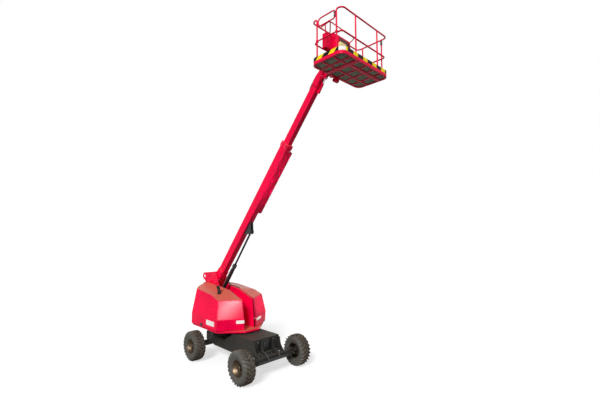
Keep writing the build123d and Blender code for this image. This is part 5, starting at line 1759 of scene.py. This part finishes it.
@dataclass
class Platform:
    """The work platform with its mesh floor, rails, gate and console."""

    mesh_cells: int = 70
    mesh_pitch: float = 0.034
    mesh_squash: float = 0.6
    mesh_strand: float = 0.012
    mesh_thick: float = 0.009
    mesh_corner: float = 0.052
    tape_corner: float = 0.03
    tape_reach: float = 0.096
    panel_spot: tuple[float, float] = (-0.02, 8.87)
    panel_size: Spot = (0.40, 0.20, 0.012)
    panel_corner: float = 0.020
    panel_rim: float = 0.012
    panel_sink: float = 0.0048
    toggle_columns: int = 6
    toggle_pitch: float = 0.05
    toggle_rows: tuple[float, float] = (-0.05, 0.04)
    toggle_foot: float = 0.0072
    toggle_radius: float = 0.007
    toggle_length: float = 0.022
    toggle_collar: float = 0.0021
    toggle_lean: float = 0.0066
    toggle_taper: float = 0.7
    stop_spot: Spot = (0.168, 0.06, 0.0)
    stop_radius: float = 0.020
    stop_height: float = 0.024
    stop_flare: float = 0.010
    stop_rises: tuple[float, float] = (0.006, 0.012)
    stop_taper: float = 0.85
    stop_round: float = 0.002
    box_spot: tuple[float, float] = (-0.14, 8.75)
    box_size: Spot = (0.24, 0.13, 0.07)
    box_lid: Spot = (0.010, 0.004, 0.012)
    box_round: float = 0.006
    guard_radius: float = 0.014
    guard_route: tuple[Spot, ...] = (
        (4.905, -0.64, 9.157), (5.08, -0.64, 9.175), (5.205, -0.64, 9.20), (5.205, -0.50, 9.20),
        (5.205, -0.10, 9.19), (5.205, 0.22, 9.19), (5.205, 0.36, 9.19), (5.10, 0.42, 9.165),
        (4.905, 0.46, 9.157),
    )
    guard_legs: tuple[tuple[Spot, ...], ...] = (
        ((5.07, -0.64, 9.18), (5.05, -0.61, 9.12), (5.01, -0.56, 9.0)),
        ((5.19, -0.59, 9.20), (5.14, -0.53, 9.13), (5.015, -0.40, 9.0)),
    )
    sleeve_radius: float = 0.0275
    sleeve_lip: float = 0.00275
    sleeve_sink: float = 0.002
    hinge_in: float = 0.027
    hinge_side: float = -0.932
    hinge_levels: tuple[float, float] = (9.0994, 9.0204)
    hinge_height: float = 0.05
    post_sleeve: Spot = (5.6613, 0.932, 9.075)
    post_sleeve_height: float = 0.11

    def build(self) -> None:
        """Paint the platform and fit its details."""
        paint(RED, "platform_frame", "floor_members", "platform_arm", "top_rail", "mid_rail", "rail_posts")
        paint(RED, "control_console", "entry_gate", "drop_bar")
        low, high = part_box("toe_board")
        corner = (high.x - self.tape_corner, low.y + self.tape_corner)
        paint(HazardTape("hazard_tape", *TAPE_COLOURS, corner, self.tape_reach), "toe_board")
        self._floor()
        self._panel()
        self._document_box()
        self._guard()
        self._sleeves()

    def _floor(self) -> None:
        """Cut an expanded-metal floor to the frame's inside."""
        low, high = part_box("floor_mesh")
        centre = (low + high) / 2
        squash = Matrix.Diagonal((self.mesh_squash, 1.0, 1.0, 1.0))
        diagonal = Matrix.Rotation(math.pi / 4, 4, "Z")
        place = Matrix.Translation((centre.x, centre.y, low.z)) @ squash @ diagonal
        floor = Piece.grid("expanded_floor", self.mesh_cells, self.mesh_pitch, place)
        floor.lattice(self.mesh_strand)
        for edge_x, way_x in ((low.x, -1), (high.x, 1)):
            floor.trim(Vector((edge_x, 0, low.z)), Vector((way_x, 0, 0)))
            for edge_y, way_y in ((low.y, -1), (high.y, 1)):
                floor.trim(Vector((0, edge_y, low.z)), Vector((0, way_y, 0)))
                slant = Vector((way_x, way_y, 0)).normalized()
                floor.trim(Vector((edge_x, edge_y, low.z)) - self.mesh_corner * slant, slant)
        floor.thicken(self.mesh_thick)
        floor.dress(GRATING, "platform", "floor_grating", ["floor_mesh"])

    def _on_console(self, spot: tuple[float, float]) -> Matrix:
        """The placement on the console's front, at a spot across and up."""
        return Seat("control_console", (CLEAR, *spot), -AHEAD).place()

    def _panel(self) -> None:
        """Set a switch panel in the console, dark with painted shade, with its toggles and a stop button."""
        place = self._on_console(self.panel_spot)
        out = looking_out(place)
        panel = Piece.block("switch_panel", self.panel_size, place @ raised(self.panel_size[2] / 2))
        panel.bevel(self.panel_corner, CORNER_STEPS, Pick.EDGE, along(out))
        panel.inset(facing(out), self.panel_rim, -self.panel_sink)
        # The panel's dark red is painted shade.
        panel.dress(PAINTED_SHADE_PLASTIC, "platform", "red_paint")
        self._toggles(place)
        self._stop_button(place)

    def _toggles(self, panel: Matrix) -> None:
        """Model one toggle and stand two rows of them.

        Args:
            panel: The panel's placement.
        """
        toggle = Piece.drum(
            "toggles", self.toggle_radius, self.toggle_length, raised(self.toggle_length / 2), STEM_SIDES
        )
        toggle.inset(facing(UP), self.toggle_collar)
        tip = middle(UP, self.toggle_length * UP, MM)
        toggle.extrude(tip, (0, self.toggle_lean, self.toggle_length), self.toggle_taper)
        places = []
        for column in range(self.toggle_columns):
            across = (column - (self.toggle_columns - 1) / 2) * self.toggle_pitch
            for row in self.toggle_rows:
                places.append(panel @ Matrix.Translation((across, row, self.toggle_foot)))
        toggle.array(places).dress(PIN_STEEL, "platform", "pin_steel")

    def _stop_button(self, panel: Matrix) -> None:
        """Model the stop button, a mushroom on its stem.

        Args:
            panel: The panel's placement.
        """
        flare_rise, cap_rise = self.stop_rises
        middle_place = raised(self.stop_height / 2)
        stop = Piece.drum("stop_button", self.stop_radius, self.stop_height, middle_place, POST_SIDES)
        stop.inset(facing(UP), -self.stop_flare, flare_rise)
        stop.extrude(facing(UP), cap_rise * UP, self.stop_taper)
        stop.soften(self.stop_round)
        stop.shape.data.transform(panel @ Matrix.Translation(self.stop_spot))
        stop.dress(STOP_RED, "platform", "red_paint")

    def _document_box(self) -> None:
        """Hang a pale document box with its lid under the console's front."""
        place = self._on_console(self.box_spot)
        up = place.to_3x3() @ Vector((0, 1, 0))
        margin, slope, lid = self.box_lid
        box = Piece.block("document_box", self.box_size, place @ raised(self.box_size[2] / 2))
        box.inset(facing(up), margin, slope)
        box.extrude(facing(up), lid * up)
        box.soften(self.box_round, CORNER_STEPS)
        box.dress(PALE_BOX, "platform", "red_paint")

    def _guard(self) -> None:
        """Bend the console's guard rail and stand its two legs."""
        legs = [Piece.tube("guard_leg", route, self.guard_radius) for route in self.guard_legs]
        guard = Piece.tube("console_guard", self.guard_route, self.guard_radius).join(legs)
        guard.dress(RED, "platform", "red_paint")

    def _sleeves(self) -> None:
        """Slip black sleeves on the gate's hinge and on a far post."""
        _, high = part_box("entry_gate")
        sleeves = []
        for level in self.hinge_levels:
            spot = (high.x - self.hinge_in, self.hinge_side, level)
            sleeves.append((spot, self.hinge_height, "entry_gate"))
        sleeves.append((self.post_sleeve, self.post_sleeve_height, "platform"))
        for index, (spot, height, body) in enumerate(sleeves):
            name = f"black_sleeve_{index + 1}"
            sleeve = Piece.drum(name, self.sleeve_radius, height, Matrix.Translation(spot), POST_SIDES)
            for way in (UP, DOWN):
                sleeve.inset(facing(way), self.sleeve_lip, -self.sleeve_sink)
            sleeve.soften(self.sleeve_sink)
            sleeve.dress(BLACK_PLASTIC, body, "red_paint")


def main() -> None:
    """Build the studio and dress the machine, part by part."""
    logging.basicConfig(level=logging.INFO, format="%(name)s %(message)s")
    Studio().build()
    pattern = None
    for row in ("front", "rear"):
        for side in Side:
            pattern = LuggedWheel(f"{row}_{side.label}", side).build(pattern)
    bpy.data.objects.remove(pattern.shape)
    for part in (Chassis(), Turntable(), Boom(), Platform()):
        part.build()
        LOG.info("%s is dressed", type(part).__name__)


if __name__ == "__main__":
    main()
